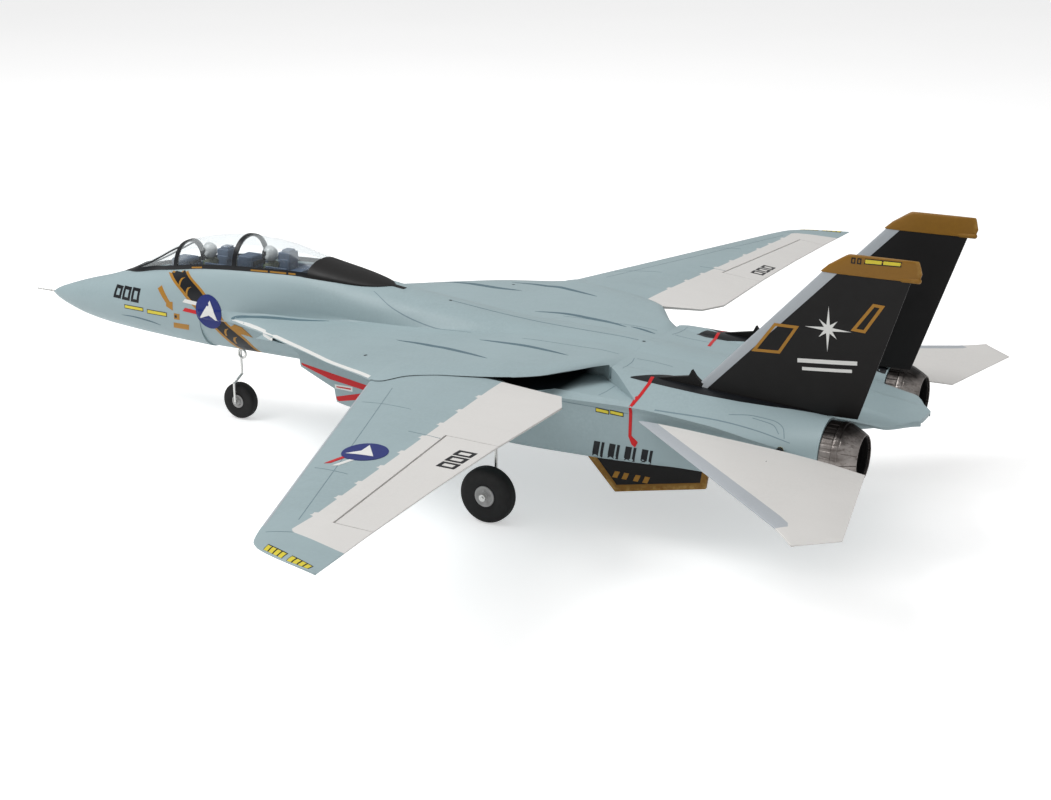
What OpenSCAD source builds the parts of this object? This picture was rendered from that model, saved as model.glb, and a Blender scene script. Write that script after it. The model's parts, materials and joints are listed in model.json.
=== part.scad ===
// Twin ducted-fan radio controlled jet with swing wings, foam airframe on three wire-leg wheels.
// +X port (left), +Y aft (the nose points along -Y), +Z up, ground at z = 0.

/* [Fuselage] */
// Foam skin thickness of the hollow front fuselage
skin = 7; // [5:0.5:9]
// Height of the flat joint between the upper and lower fuselage shells
split_z = 190; // [188:0.5:191]
// Radius of the duct through each nacelle
duct_r = 31; // [28:0.5:32]
// Distance of each duct axis from the centre plane
duct_x = 126; // [125:0.5:127]
// Height of the duct axes
duct_z = 149; // [148:0.5:150]

/* [Wings] */
// Distance of each wing pivot from the centre plane
pivot_x = 205; // [204:0.5:206]
// Fore and aft place of the wing pivots
pivot_y = 150; // [149:0.5:151]
// Height of the wing mid plane
wing_z = 198; // [197.5:0.5:198.5]
// Thickness of the wing root
root_t = 19; // [15:0.5:19]
// Radius of the pivot bolts
pivot_r = 4; // [3:0.5:5]

/* [Tail] */
// Outward cant of the fins
cant = 4.7; // [3:0.1:6]
// Fore and aft place of the stabilator pivots
stab_y = 590; // [585:1:595]
// Height of the stabilator pivots
stab_z = 158.5; // [157:0.5:160]

/* [Undercarriage] */
// Radius of the main wheels
main_r = 37.2; // [34:0.2:38]
// Radius of the nose wheel
nose_r = 27.7; // [25:0.1:29]
// Radius of the spring wire legs
wire_r = 2; // [1.5:0.1:2.2]

/* [Fans] */
// Number of blades on each fan rotor
blades = 10; // [6:1:12]
// Radius of each fan rotor
rotor_r = 31.6; // [30:0.1:31.8]

/* [Hidden] */
run = 0.05;       // running clearance of pins and shafts
fit = 0.3;        // gap round parts set into the foam

foam = [0.66, 0.72, 0.75];
fin_black = [0.07, 0.07, 0.07];
hatch_black = [0.06, 0.06, 0.06];
tyre_black = [0.05, 0.05, 0.05];
servo_black = [0.12, 0.12, 0.13];
rotor_black = [0.13, 0.13, 0.13];
plate_black = [0.15, 0.15, 0.15];
mount_grey = [0.2, 0.2, 0.2];
shaft_grey = [0.2, 0.2, 0.21];
rod_steel = [0.6, 0.6, 0.62];
wire_steel = [0.75, 0.76, 0.78];
cockpit_blue = [0.36, 0.43, 0.52];
hub_grey = [0.8, 0.8, 0.8];
surface_white = [0.85, 0.85, 0.85];
arm_white = [0.9, 0.9, 0.9];

// ---- helpers ----
function mix(a, b, t) = a + (b - a) * t;
function clamp01(t) = max(0, min(1, t));
function smooth_max(a, b, blend) =
  let (h = max(blend - abs(a - b), 0) / blend) max(a, b) + h * h * blend / 4;
function reversed(list) = [for (i = [len(list) - 1 : -1 : 0]) list[i]];
function other_side(points, first = 0) =
  [for (i = [first : len(points) - 1]) [-points[i][0], points[i][1]]];
// height at u (0 to 1) of a unit superellipse of the given power
function arc(u, power) = pow(1 - pow(u, power), 1 / power);

// closed solid through rings of 3D points
module loft(rings, flipped = false) {
  n = len(rings[0]);
  m = len(rings);
  faces = concat([[for (j = [0 : n - 1]) j]], [reversed([for (j = [0 : n - 1]) (m - 1) * n + j])],
    [for (i = [0 : m - 2]) for (j = [0 : n - 1]) let (k = (j + 1) % n)
      each [[i * n + j, (i + 1) * n + k, i * n + k],
            [i * n + j, (i + 1) * n + j, (i + 1) * n + k]]]);
  polyhedron(points = [for (ring = rings) each ring],
    faces = flipped ? [for (f = faces) reversed(f)] : faces);
}
// through sections of [x, z] points at each y
module y_loft(ys, sections)
  loft([for (i = [0 : len(ys) - 1]) [for (p = sections[i]) [p[0], ys[i], p[1]]]]);
// through sections of [y, z] points at each x
module x_loft(xs, sections)
  loft([for (i = [0 : len(xs) - 1]) [for (p = sections[i]) [xs[i], p[0], p[1]]]], flipped = true);

// prism of [y, z] points across the centre plane
module side_prism(points, half_width = 60)
  rotate([90, 0, 90]) linear_extrude(2 * half_width, center = true) polygon(points);
module both() {
  children();
  mirror([1, 0, 0]) children();
}
module y_cylinder(r, y0, y1, z = 0, facets = 48)
  translate([0, y0, z]) rotate([-90, 0, 0]) cylinder(h = y1 - y0, r = r, $fn = facets);
// at is [y, z]
module x_cylinder(r, x0, x1, at)
  translate([x0, at[0], at[1]]) rotate([0, 90, 0]) cylinder(h = x1 - x0, r = r, $fn = 48);
module post(base, height, r, facets = 32)
  translate(base) cylinder(h = height, r = r, $fn = facets);
module box(low, high, grow = 0) {
  pad = grow * [1, 1, 1];
  translate(low - pad) cube(high - low + 2 * pad);
}
module rod(start, end, r) {
  d = end - start;
  length = norm(d);
  translate(start) rotate([0, acos(d[2] / length), atan2(d[1], d[0])])
    cylinder(h = length, r = r, $fn = 32);
}
module ball(centre, r) translate(centre) sphere(r = r, $fn = 32);
// moves the whole model forward to centre its bounding box on the origin
module placed() translate([0, -8, 0]) children();
// resize([0, 0, 0]) changes no size: it makes one mesh of the piece under it

// ---- fuselage lines, each a table of [y, value] ----
// rounded core: half width, top, bottom, and superellipse power
core_half = [[-680, 1.5], [-668, 8], [-640, 17], [-604, 27.5], [-560, 36.5], [-520, 42.5],
  [-470, 48], [-400, 53], [-330, 56], [-200, 57], [-100, 57], [60, 54], [220, 46], [400, 36],
  [714, 20]];
core_top = [[-680, 155], [-668, 162], [-640, 172.5], [-604, 184], [-560, 196], [-528, 206],
  [-500, 214], [-450, 226], [-412, 236], [-345, 249], [-266, 257], [-180, 260], [-120, 252],
  [-73, 244], [-27, 238], [60, 229], [140, 221], [220, 216], [300, 213], [400, 206], [500, 196],
  [600, 184], [714, 168]];
core_bottom = [[-680, 152], [-668, 146], [-640, 136], [-604, 127.5], [-560, 121.5],
  [-520, 118.5], [-470, 116], [-400, 114], [-330, 113], [-200, 113], [-60, 120], [60, 140],
  [160, 150], [560, 152], [714, 164]];
core_power = [[-680, 2], [-560, 2.05], [-470, 2.2], [-412, 2.4], [-345, 2.6], [-150, 2.6],
  [60, 2.3], [714, 2.3]];
// belly behind the nose joint: half width and superellipse power
belly_half = [[-350, 55.5], [-200, 57], [0, 60], [160, 74], [634, 74], [714, 20]];
belly_power = [[-350, 2.2], [-60, 2.4], [160, 6], [714, 6]];
// deck: height beside the hump, and height of the outer edge
deck_inner = [[-350, 174], [-292, 175], [-264, 181], [-232, 187], [-167, 192], [-83, 198],
  [32, 203], [120, 208], [220, 212], [300, 212], [345, 208], [400, 204], [500, 195], [600, 183],
  [714, 167]];
deck_edge = [[-350, 172], [-292, 172], [-264, 178], [-236, 183], [-199, 188], [-155, 192],
  [-100, 195], [-50, 197.5], [0, 199], [89, 200], [120, 204], [330, 206], [345, 205], [400, 200],
  [500, 193], [600, 181], [714, 166]];
// underside outboard of the belly
glove_under = [[-350, 190], [0, 190], [80, 176], [260, 176], [330, 184], [345, 188], [714, 188]];
// half width of the whole body at the deck edge
body_half = [[-350, 56.6], [-292, 57.6], [-284, 64], [-264, 81], [-236, 102], [-199, 125],
  [-155, 151], [-100, 182], [-50, 209], [0, 236], [89, 272], [98, 279], [106, 280], [130, 266],
  [186, 243], [244, 216], [282, 188], [306, 150], [330, 112], [345, 100], [600, 95], [634, 80],
  [666, 73], [682, 70], [708, 30], [714, 22]];
body_stations = [-350, -320, -292, -284, -264, -236, -199, -155, -115, -73, -27, 30, 89, 98, 106,
  130, 158, 186, 215, 244, 263, 282, 306, 330, 345, 400, 450, 500, 560, 600, 634, 666, 682, 708,
  714];
nose_stations = [-676, -668, -655, -640, -622, -604, -582, -560, -540, -520, -495, -470, -440,
  -412, -380, -350.06];
hollow_stations = [-640, -600, -560, -520, -470, -412, -345, -266, -180, -120, -60, 0, 60];

// height where the core is widest
function mid_z(y) = (lookup(y, core_top) + lookup(y, core_bottom)) / 2;
function widest_z(y) = y < -350 ? mid_z(y) : mix(mid_z(y), 186, clamp01((y + 350) / 200));

function hump_z(x, y) = let (half = lookup(y, core_half), mid = widest_z(y), u = abs(x) / half)
  u < 1 ? mid + (lookup(y, core_top) - mid) * arc(u, lookup(y, core_power))
    : mid - 3 * (abs(x) - half);
// the deck runs straight outward with a bulge that rolls down to the edge
function deck_z(x, y) = let (
    half = lookup(y, body_half),
    start = min(60, half * 0.7),
    u = clamp01((abs(x) - start) / (half - start)),
    power = y > 89 ? 8 : 6,
    bulge = y < -200 ? 3 + 4 * clamp01((y + 292) / 92) : y < 89 ? 7 : y < 345 ? 9 : 2)
  mix(lookup(y, deck_inner), lookup(y, deck_edge) + bulge, u) - bulge * pow(u, power);
function top_z(x, y) = let (deck = deck_z(x, y))
  y > 560 ? deck + 2 * (1 - clamp01((abs(x) - 30) / 10))
    : smooth_max(hump_z(x, y), deck, y < 60 ? 14 : 8);
function belly_z(x, y) = let (mid = widest_z(y), u = min(1, abs(x) / lookup(y, belly_half)))
  mid - (mid - lookup(y, core_bottom)) * arc(u, lookup(y, belly_power));

// closed [x, z] section of the centre body, glove and deck
function body_section(y) = let (
    edge_x = lookup(y, body_half),
    core_x = min(lookup(y, core_half), edge_x - 1),
    belly_x = min(lookup(y, belly_half), edge_x - 0.8),
    edge_z = lookup(y, deck_edge),
    under_z = min(lookup(y, glove_under), edge_z - 4),
    upper_x = concat([for (i = [0 : 6]) core_x * sin(i * 14)],
      [for (t = [0.03, 0.08, 0.18, 0.35, 0.6, 0.8, 0.92, 0.98]) mix(core_x, edge_x, t)]),
    lower_x = concat([for (i = [0 : 6]) belly_x * sin(i * 15)],
      [for (t = [0.004, 0.6, 0.92]) mix(belly_x, edge_x, t)]),
    upper = [for (x = upper_x) [x, max(top_z(x, y), x < belly_x ? 0 : under_z + 1)]],
    lower = [for (i = [0 : 9]) [lower_x[i],
      i < 7 ? min(belly_z(lower_x[i], y), upper[0][1] - 3)
        : i < 9 ? under_z : mix(under_z, edge_z - 2, 0.6)]],
    tip_z = min(edge_z, upper[14][1]))
  reversed(concat([[edge_x, tip_z]], reversed(upper), other_side(upper, 1),
    [[-edge_x, tip_z]], reversed(other_side(lower, 1)), lower));

function nose_section(y, inset = 0) = let (
    half = lookup(y, core_half) - inset,
    power = lookup(y, core_power),
    high = lookup(y, core_top) - inset,
    low = lookup(y, core_bottom) + inset,
    mid = (high + low) / 2)
  [for (i = [0 : 31]) let (angle = -i * 11.25, s = sin(angle), c = cos(angle))
    [half * sign(c) * pow(abs(c), 2 / power),
     mid + (s > 0 ? high - mid : mid - low) * sign(s) * pow(abs(s), 2 / power)]];

// ---- nacelles, with lines as tables of [y, value] ----
chine_x = [[-170, 145], [-115, 156], [-20, 160], [100, 166], [200, 172], [280, 175], [600, 174],
  [634, 168.5]];
chine_z = [[-170, 183], [-60, 185.5], [100, 186], [280, 182.5], [308, 181], [399, 183],
  [491, 177], [567, 168], [634, 157]];
nacelle_top = [[-170, 188], [0, 195], [200, 200], [310, 204], [345, 207], [400, 205], [500, 200],
  [600, 196.5], [634, 192]];
nacelle_bottom = [[-170, 111], [-20, 108], [60, 105], [200, 103.5], [355, 105.6], [479, 110.5],
  [600, 110], [634, 108]];
nacelle_side = [[-170, 143], [-115, 154], [-20, 158], [200, 169], [280, 172], [430, 172],
  [450, 170.5], [600, 169], [634, 167]];
nacelle_stations = [-170, -115, -60, 40, 120, 200, 280, 345, 400, 450, 500, 540, 575, 605, 634];
nacelle_inner = 75;
nacelle_exit_r = 42.5;
// where each point of the boxy section lies round the circular exit
exit_angles = [152, 122, 104, 84, 64, 44, 12, 2, -14, -30, -48, -68, -98, -118, -140, -175];

// blends from a boxy section to a circle round the duct behind y = 500
function nacelle_section(y) = let (
    cx = lookup(y, chine_x),
    cz = lookup(y, chine_z),
    high = lookup(y, nacelle_top),
    low = lookup(y, nacelle_bottom),
    side = lookup(y, nacelle_side),
    inner = nacelle_inner,
    t = pow(clamp01((y - 500) / 134), 1.5),
    boxy = [[inner, high - 10], [inner + 14, high], [112, high], [128, mix(high, cz, 0.2)],
      [148, mix(high, cz, 0.52)], [163, mix(high, cz, 0.8)], [cx, cz], [side, cz - 6],
      [side, mix(cz, low, 0.4)], [side - 1, low + 18], [side - 3, low + 3.5], [side - 10, low],
      [inner + 30, low], [inner + 14, low], [inner + 3, low + 6], [inner, low + 20]])
  [for (i = [0 : 15]) [mix(boxy[i][0], duct_x + nacelle_exit_r * cos(exit_angles[i]), t),
                       mix(boxy[i][1], duct_z + nacelle_exit_r * sin(exit_angles[i]), t)]];
module nacelle() y_loft(nacelle_stations, [for (y = nacelle_stations) nacelle_section(y)]);
// rakes the intake mouth
module intake_rake() side_prism([[-300, 60], [-19, 60], [-20, 108.5], [-43, 115], [-45, 134],
  [-165, 187], [-165, 188.5], [-300, 188.5]], 180);
module at_duct() translate([duct_x, 0, duct_z]) children();

fan_front = 419;
fan_back = 491;
// square intake running into the round duct, with seats for the fan and the nozzle
module duct_cut() at_duct() {
  hull() {
    box([-43, -200, -33], [29, -30, 34]);
    box([-41, -200, -35], [27, -30, 36]);
    y_cylinder(duct_r, 0, 110, facets = 32);
  }
  y_cylinder(duct_r, 100, 700, facets = 32);
  y_cylinder(35, fan_front - 1, fan_back + 1, facets = 32);
  y_cylinder(37, 611, 641, facets = 32);
}

// ---- wing shape, with lines as tables of [x, value] ----
wing_front = [[160, 150], [163, 128], [170, 112], [180, 100], [193, 89], [205, 83], [216, 77.5],
  [228, 73], [272, 89], [527, 181], [717, 250], [735, 257.5], [748, 264.5], [758, 276],
  [765, 293], [774, 326], [782, 360]];
wing_rear = [[160, 154], [163, 172], [170, 190], [180, 208], [190, 225], [205, 250], [219, 329],
  [255, 347.5], [420, 345.5], [551, 348], [689, 354.5], [782, 361]];
wing_thickness = [[160, 15], [175, root_t], [272, root_t], [527, 13], [717, 9], [748, 7],
  [782, 2.5]];
wing_stations = [160, 163, 170, 180, 193, 205, 216, 228, 255, 272, 340, 430, 527, 620, 717, 735,
  748, 758, 765, 774, 782];
// [fraction of chord, fraction of half thickness]
wing_profile = [[0, 0.05], [0.03, 0.26], [0.085, 0.5], [0.2, 0.84], [0.36, 1], [0.55, 0.92],
  [0.75, 0.6], [0.88, 0.34], [1, 0.13]];

// one face of the section: side is 1 for the upper, -1 for the lower
function wing_face(x, side) = let (half = lookup(x, wing_thickness) / 2)
  [for (p = wing_profile) [mix(lookup(x, wing_front), lookup(x, wing_rear), p[0]),
                           wing_z + side * half * p[1]]];
module wing_solid() x_loft(wing_stations,
  [for (x = wing_stations) concat(wing_face(x, 1), reversed(wing_face(x, -1)))]);

// room the wing root sweeps through, seen from above
module swept_plan(back, gap) polygon([[420, 142.6 + back - gap], [228 - gap * 0.3, 73 + back - gap],
  [216, 77.5 + back - gap], [205 - gap * 0.4, 83 + back - gap],
  [193 - gap * 0.6, 89 + min(back, 14) - gap], [180 - gap * 0.7, 100 + min(back, 8) - gap * 0.7],
  [170 - gap, 112 - gap * 0.6], [163 - gap, 128 - gap * 0.3], [152 - gap, 151],
  [145 - gap, 170], [139 - gap, 189], [131 - gap, 217], [81 - gap, 280], [90.7 - gap, 320 + gap],
  [290 - gap, 539 + 1.5 * gap], [420, 684 + gap]]);
// [depth below the wing plane, height, set back of the front edge, gap]
slot_layers = [[4.2, 8.4, 0, 1.4], [7.6, 15.2, 8, 1.8], [11.2, 22.2, 22, 2.2]];
module wing_slot() for (s = slot_layers)
  translate([0, 0, wing_z - s[0]]) linear_extrude(s[1]) swept_plan(s[2], s[3]);

spar_bottom = 181.8;
module pivot_post(z, height, r, facets) post([pivot_x, pivot_y, z], height, r, facets);
module spar_space() {
  box([-228, pivot_y - 14, spar_bottom - 0.2], [228, pivot_y + 14, 187]);
  both() pivot_post(spar_bottom - 6, 40, pivot_r + 1.2, 24);
}

// ---- fins ----
// stations up the fin: [height, front, rear, half thickness]
fin_stations = [[190, 449, 662, 4.6], [196, 454, 664, 4.6], [366, 614, 718, 2.6],
  [367, 612, 727, 3.4], [376, 622, 730, 3.4], [390.6, 645, 726, 2.4]];
// [fraction of half thickness, fraction of chord]
fin_outline = [[0, 0], [0.6, 0.05], [1, 0.25], [1, 0.7], [0.25, 1], [-0.25, 1], [-1, 0.7],
  [-1, 0.25], [-0.6, 0.05]];
fin_root_x = 109;
function fin_x(z) = fin_root_x + (z - 196) * tan(cant);
// up to station number last
module fin(grow = 0, last = 5) loft([for (i = [0 : last]) let (
    s = fin_stations[i],
    half = s[3] + grow,
    z = s[0] - (i == 0 ? grow : 0))
  [for (p = fin_outline) [fin_x(s[0]) + half * p[0], mix(s[1] - grow, s[2] + grow, p[1]), z]]]);
// low plate running forward from the fin root
module strake(grow = 0) translate([fin_root_x, 0, 0]) side_prism([[374 - grow, 199.5 + 20 * grow],
  [448, 212 + 4 * grow], [452, 220], [458, 213], [480, 218], [480, 192 - grow],
  [374 - grow, 192 - grow]], 3 + grow);
module fin_body() {
  fin();
  strake();
  rod([fin_x(368), 712, 368], [fin_x(368), 729.6, 368], 3.2);
}
module ventral(grow = 0) translate([105, 0, 0]) side_prism([[288 - grow, 110 + grow],
  [288 - grow, 108], [350, 42], [472, 68], [478 + grow, 108], [478 + grow, 114 + grow]], 2 + grow);

// ---- hatch and canopy: sill and ridge as tables of [y, z] ----
sill_line = [[-528, 205.9], [-515, 208.7], [-491, 212], [-450, 220.5], [-412, 227],
  [-345, 237.5], [-266, 243.5], [-180, 246.5], [-160, 245.5], [-122, 243.5], [-73, 240.8],
  [-50, 240.5], [-27, 238]];
ridge_line = [[-528, 206.4], [-491, 216], [-470, 229], [-445, 246], [-420, 260], [-402, 267.5],
  [-350, 281], [-295, 287], [-250, 286], [-220, 282], [-165, 266], [-102, 256], [-60, 247],
  [-27, 238]];
hatch_stations = [-528, -515, -491, -480, -468, -455, -440, -425, -412, -402, -375, -345, -310,
  -280, -266, -250, -220, -190, -180, -165];
fairing_stations = [-165, -150, -135, -120, -100, -80, -65, -50, -38, -27];
bow_stations = [-405, -292];

function sill_half(y) = let (mid = widest_z(y),
    u = min(0.999, (lookup(y, sill_line) - mid) / (lookup(y, core_top) - mid)))
  lookup(y, core_half) * arc(u, lookup(y, core_power));
function hatch_section(y, inset = 0, drop = 0) = let (
    half = max(1, sill_half(y) - inset),
    sill = lookup(y, sill_line) + 0.2 - drop,
    ridge = max(sill + 0.6, lookup(y, ridge_line) - inset))
  reversed([for (i = [0 : 12]) let (angle = i * 15)
    [half * cos(angle), sill + (ridge - sill) * pow(sin(angle), 0.9)]]);
module hatch_loft(ys, inset = 0, drop = 0)
  y_loft(ys, [for (y = ys) hatch_section(y, inset, drop)]);
// hatch shell, open below and at the rear
module hatch_skin(wall, front_wall) {
  last = len(hatch_stations) - 1;
  inner = concat([hatch_stations[0] + front_wall],
    [for (i = [1 : last - 1]) hatch_stations[i]], [hatch_stations[last] + 1]);
  difference() {
    hatch_loft(hatch_stations);
    hatch_loft(inner, wall, 3);
  }
}
// everything up to the given height above the sill
module sill_band(height, y0 = -560, y1 = -160) side_prism(concat([[y0, 190]],
  [for (p = sill_line) if (p[0] > y0 && p[0] < y1) [p[0], p[1] + height]],
  [[y1, lookup(y1, sill_line) + height], [y1, 190]]));
module bows(grow = 0) for (y = bow_stations)
  box([-60, y - 3.5 - grow, 220], [60, y + 3.5 + grow, 300]);
module hatch_nose(rear) box([-60, -540, 190], [60, rear, 240]);
// everything above the sill
module sill_cut() side_prism(concat([[-530, 300], [-530, 204.8]], sill_line,
  [[-20, 236.3], [-20, 300]]));

tub_outline = [[-455, 19], [-412, 26], [-345, 30], [-192, 30]];   // [y, half width]
module tub_plan(grow = 0) {
  side = [for (p = tub_outline) [p[1] + grow, p[0] + (p[0] < -400 ? -grow : grow)]];
  polygon(concat(side, reversed(other_side(side))));
}

// ---- fuselage shells ----
module front_hollow()
  y_loft(hollow_stations, [for (y = hollow_stations) nose_section(y, skin + 1)]);
module rear_hollow() {
  box([-64, 40, 157], [64, 330, 199]);
  box([-64, 329, 158], [64, 560, 178]);
}
module body_loft() y_loft(body_stations, [for (y = body_stations) body_section(y)]);

screw_places = [[200, 36], [-200, 36], [0, 46], [0, 338]];   // [x, y]
module screw_posts(depth, height, r, facets) for (s = screw_places)
  post([s[0], s[1], top_z(s[0], s[1]) - depth], height, r, facets);
module screw_holes() screw_posts(8, 30, 2.6, 20);

pitot_z = 154;
main_leg = [161, 205];         // [x, y]
nose_leg_y = -320;
servo_shaft = [546, 119.5];    // stabilator servo, [y, z]
stab_pivot = [stab_y, stab_z];

module nose_shell() color(foam) resize([0, 0, 0]) difference() {
  y_loft(nose_stations, [for (y = nose_stations) nose_section(y)]);
  front_hollow();
  sill_cut();
  translate([0, 0, 199]) linear_extrude(100) tub_plan(1);
  y_cylinder(1.7, -690, -655, pitot_z);
}
module upper_shell() color(foam) resize([0, 0, 0]) difference() {
  intersection() {
    body_loft();
    box([-400, -360, split_z + 0.05], [400, 342, 400]);
  }
  front_hollow();
  rear_hollow();
  sill_cut();
  screw_holes();
  translate([0, 0, 180]) linear_extrude(120) tub_plan(1);
  both() wing_slot();
}
module lower_shell() color([0.64, 0.7, 0.73]) resize([0, 0, 0]) difference() {
  union() {
    body_loft();
    both() nacelle();
  }
  box([-400, -360, split_z - 0.05], [400, 342.1, 400]);
  intersection() {
    front_hollow();
    box([-100, -700, 0], [100, 100, 300]);
  }
  rear_hollow();
  spar_space();
  screw_holes();
  both() {
    wing_slot();
    duct_cut();
    intersection() {
      intake_rake();
      box([72, -400, 0], [200, 0, 300]);
    }
    pivot_post(178.2, 10, 7.8, 24);
    fin(fit, 2);
    strake(fit);
    ventral(fit);
    // main gear mount
    box([147 - fit, main_leg[1] - 14 - fit, 90], [165.6, main_leg[1] + 14 + fit, 123 + fit]);
    // stabilator bush and servo
    x_cylinder(4.8, 160, 190, stab_pivot);
    box([149 - fit, 530 - fit, 113.2], [190, 553 + fit, 125.8]);
  }
  // nose gear block and leg
  box([-12 - fit, nose_leg_y - 12 - fit, 114.7], [12 + fit, nose_leg_y + 12 + fit, 140]);
  post([0, nose_leg_y, 90], 40, 3.4, 20);
}
module pitot_tube() color([0.72, 0.74, 0.75]) {
  y_cylinder(1.2, -715, -672, pitot_z);
  y_cylinder(1.6, -690, -656, pitot_z);
}
module deck_screws() color([0.12, 0.12, 0.12]) screw_posts(7.8, 7.2, 2.3, 24);

module left_fin() color(fin_black) resize([0, 0, 0]) fin_body();
module right_fin() color(fin_black) resize([0, 0, 0]) mirror([1, 0, 0]) fin_body();
module ventral_fins() color(fin_black) both() ventral();

// ---- fans and nozzles ----
motor_r = 11.5;
motor_shaft_r = 1.6;
rotor_hub_r = 13.5;

module nozzles() color([0.42, 0.38, 0.36]) both() at_duct() rotate([-90, 0, 0])
  rotate_extrude($fn = 64) polygon([[34.8, 612], [36.7, 612], [36.7, 634.2], [40, 634.2],
    [39.7, 648], [40.4, 650], [40.2, 655], [39, 657], [28.4, 677.5], [27, 677.5], [35, 652]]);
module fan_housings() color([0.1, 0.1, 0.1]) both() at_duct() difference() {
  union() {
    difference() {
      y_cylinder(34.7, fan_front, fan_back);
      y_cylinder(32.3, fan_front - 1, fan_back + 1);
    }
    // struts
    for (i = [0 : 4]) rotate([0, i * 72, 0]) box([-1, 456, 12], [1, 484, 33.2]);
    y_cylinder(13.2, 454, 488);
  }
  y_cylinder(motor_r + 0.1, 450, 486);
  y_cylinder(5, 480, 490);
}
module fan_motors() color([0.75, 0.2, 0.15]) both() at_duct() {
  y_cylinder(motor_r, 451, 485.5);
  y_cylinder(motor_shaft_r, 428, 452);
  y_cylinder(4.5, 485, 494);
}
module rotor() at_duct() difference() {
  union() {
    y_cylinder(rotor_hub_r, 431, 447);
    translate([0, fan_front, 0]) rotate([-90, 0, 0])
      cylinder(h = 12, r1 = 4, r2 = rotor_hub_r, $fn = 48);
    intersection() {
      union() {
        for (i = [0 : blades - 1]) rotate([0, i * 360 / blades, 0])
          translate([0, 439, 11]) rotate([0, 0, 38]) box([-0.8, -9, 0], [0.8, 9, 26]);
      }
      y_cylinder(rotor_r, 425, 453);
    }
  }
  y_cylinder(motor_shaft_r + run, 426, 460);
}
module left_rotor() color(rotor_black) rotor();
module right_rotor() color(rotor_black) translate([-2 * duct_x, 0, 0]) rotor();

// ---- equipment ----
tray_z = 146.5;
tray_t = 3;
bay_z = tray_z + tray_t + 0.2;   // underside of what stands over the tray

module battery() color([0.15, 0.25, 0.55]) {
  box([-22, -340, bay_z], [22, -196, 182]);
  for (x = [12, 4]) rod([x, -198, 176], [x, -182, 172], 2);
}
module battery_tray() color([0.8, 0.68, 0.48])
  translate([0, 0, tray_z]) linear_extrude(tray_t) difference() {
    polygon([[-39, -346], [39, -346], [32, -20], [-32, -20]]);
    for (y = [-320, -230]) for (side = [-1, 1])
      translate([side * 27, y]) square([3, 22], center = true);
  }
module speed_controllers() color([0.1, 0.3, 0.6]) both() {
  box([6, -92, bay_z], [29, -32, 160]);
  for (x = [12, 22]) rod([x, -34, 155], [x, -22, 155], 1.8);
}
module receiver() color([0.1, 0.1, 0.11]) {
  box([-13, -160, bay_z], [13, -112, 163]);
  rod([6, -114, 158], [6, -100, 158], 0.8);
}
module sweep_servos() color(servo_black) both() {
  box([20, 170, 157.5], [60, 190, 186]);
  box([16, 172, 178], [62, 188, 180.5]);
  post([50, 180, 185], 6, 3);
  post([50, 180, 188], 3, 13, 48);
}
module stab_servos() color(servo_black) both() {
  box([149, 530, 113.5], [169.6, 553, 125.5]);
  x_cylinder(2, 169, 175, servo_shaft);
}
module spar_plate() color([0.16, 0.16, 0.17]) difference() {
  box([-226, pivot_y - 12, spar_bottom], [226, pivot_y + 12, spar_bottom + 4]);
  both() pivot_post(170, 30, pivot_r + run, 48);
}
module pivot_bolts() color([0.7, 0.7, 0.72]) both() {
  pivot_post(178.5, 3.2, 7, 48);
  pivot_post(181, 27.4, pivot_r, 48);
}

// ---- wings and ailerons ----
// frame on the aileron hinge line: +X outward along it, +Y aft
hinge_angle = atan2(29, 267);
module on_hinge() translate([412, 285, wing_z]) rotate(hinge_angle) children();
module root_plate_block(grow = 0)
  box([181, 125, wing_z - 3.7], [255, 180, wing_z + 3.7], grow);
module wing_panel() difference() {
  wing_solid();
  on_hinge() {
    box([0, -3.6, -20], [268.6, 90, 20]);
    rod([-10, 0, 0], [280, 0, 0], 1.3);
    box([119 - fit, -78 - fit, -20], [143 + fit, -55 + fit, 3.5 + fit]);
  }
  root_plate_block(fit);
  pivot_post(150, 90, pivot_r + 1, 24);
}
module aileron_panel() difference() {
  intersection() {
    wing_solid();
    on_hinge() box([0.8, -1.8, -20], [267.8, 90, 20]);
  }
  on_hinge() {
    rod([-10, 0, 0], [280, 0, 0], 1.2);
    box([129.6, -6, -20], [132.4, 8.4, 1.4]);
  }
}
module root_plate() difference() {
  root_plate_block();
  pivot_post(150, 90, pivot_r + run, 48);
  for (x = [230, 246]) for (y = [135, 170]) post([x, y, 190], 20, 3, 24);
}
module torque_rod() on_hinge() {
  rod([-8, 0, 0], [276, 0, 0], 0.9);
  box([130, -0.6, -13], [132, 8, 0.5]);
}
module aileron_servo() on_hinge() {
  box([119, -78, -8.4], [143, -55, 3.5]);
  rod([131, -60, -8], [131, -60, -11], 3);
}
module left_wing() color(foam) resize([0, 0, 0]) wing_panel();
module right_wing() color(foam) resize([0, 0, 0]) mirror([1, 0, 0]) wing_panel();
module left_root_plate() color(plate_black) root_plate();
module right_root_plate() color(plate_black) mirror([1, 0, 0]) root_plate();
module left_aileron_servo() color(servo_black) aileron_servo();
module right_aileron_servo() color(servo_black) mirror([1, 0, 0]) aileron_servo();
module left_aileron() color(surface_white) resize([0, 0, 0]) aileron_panel();
module right_aileron() color(surface_white) resize([0, 0, 0]) mirror([1, 0, 0]) aileron_panel();
module left_torque_rod() color(rod_steel) torque_rod();
module right_torque_rod() color(rod_steel) mirror([1, 0, 0]) torque_rod();

// ---- all-moving tails, with lines as tables of [x, value] ----
stab_front = [[178, 412], [363, 645], [380, 664], [393, 677], [405, 687]];
stab_rear = [[178, 655], [187, 698], [366, 731], [405, 690]];
stab_thickness = [[178, 7.4], [363, 4.4], [405, 2.4]];
stab_stations = [178, 187, 230, 300, 363, 366, 380, 393, 405];
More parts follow.
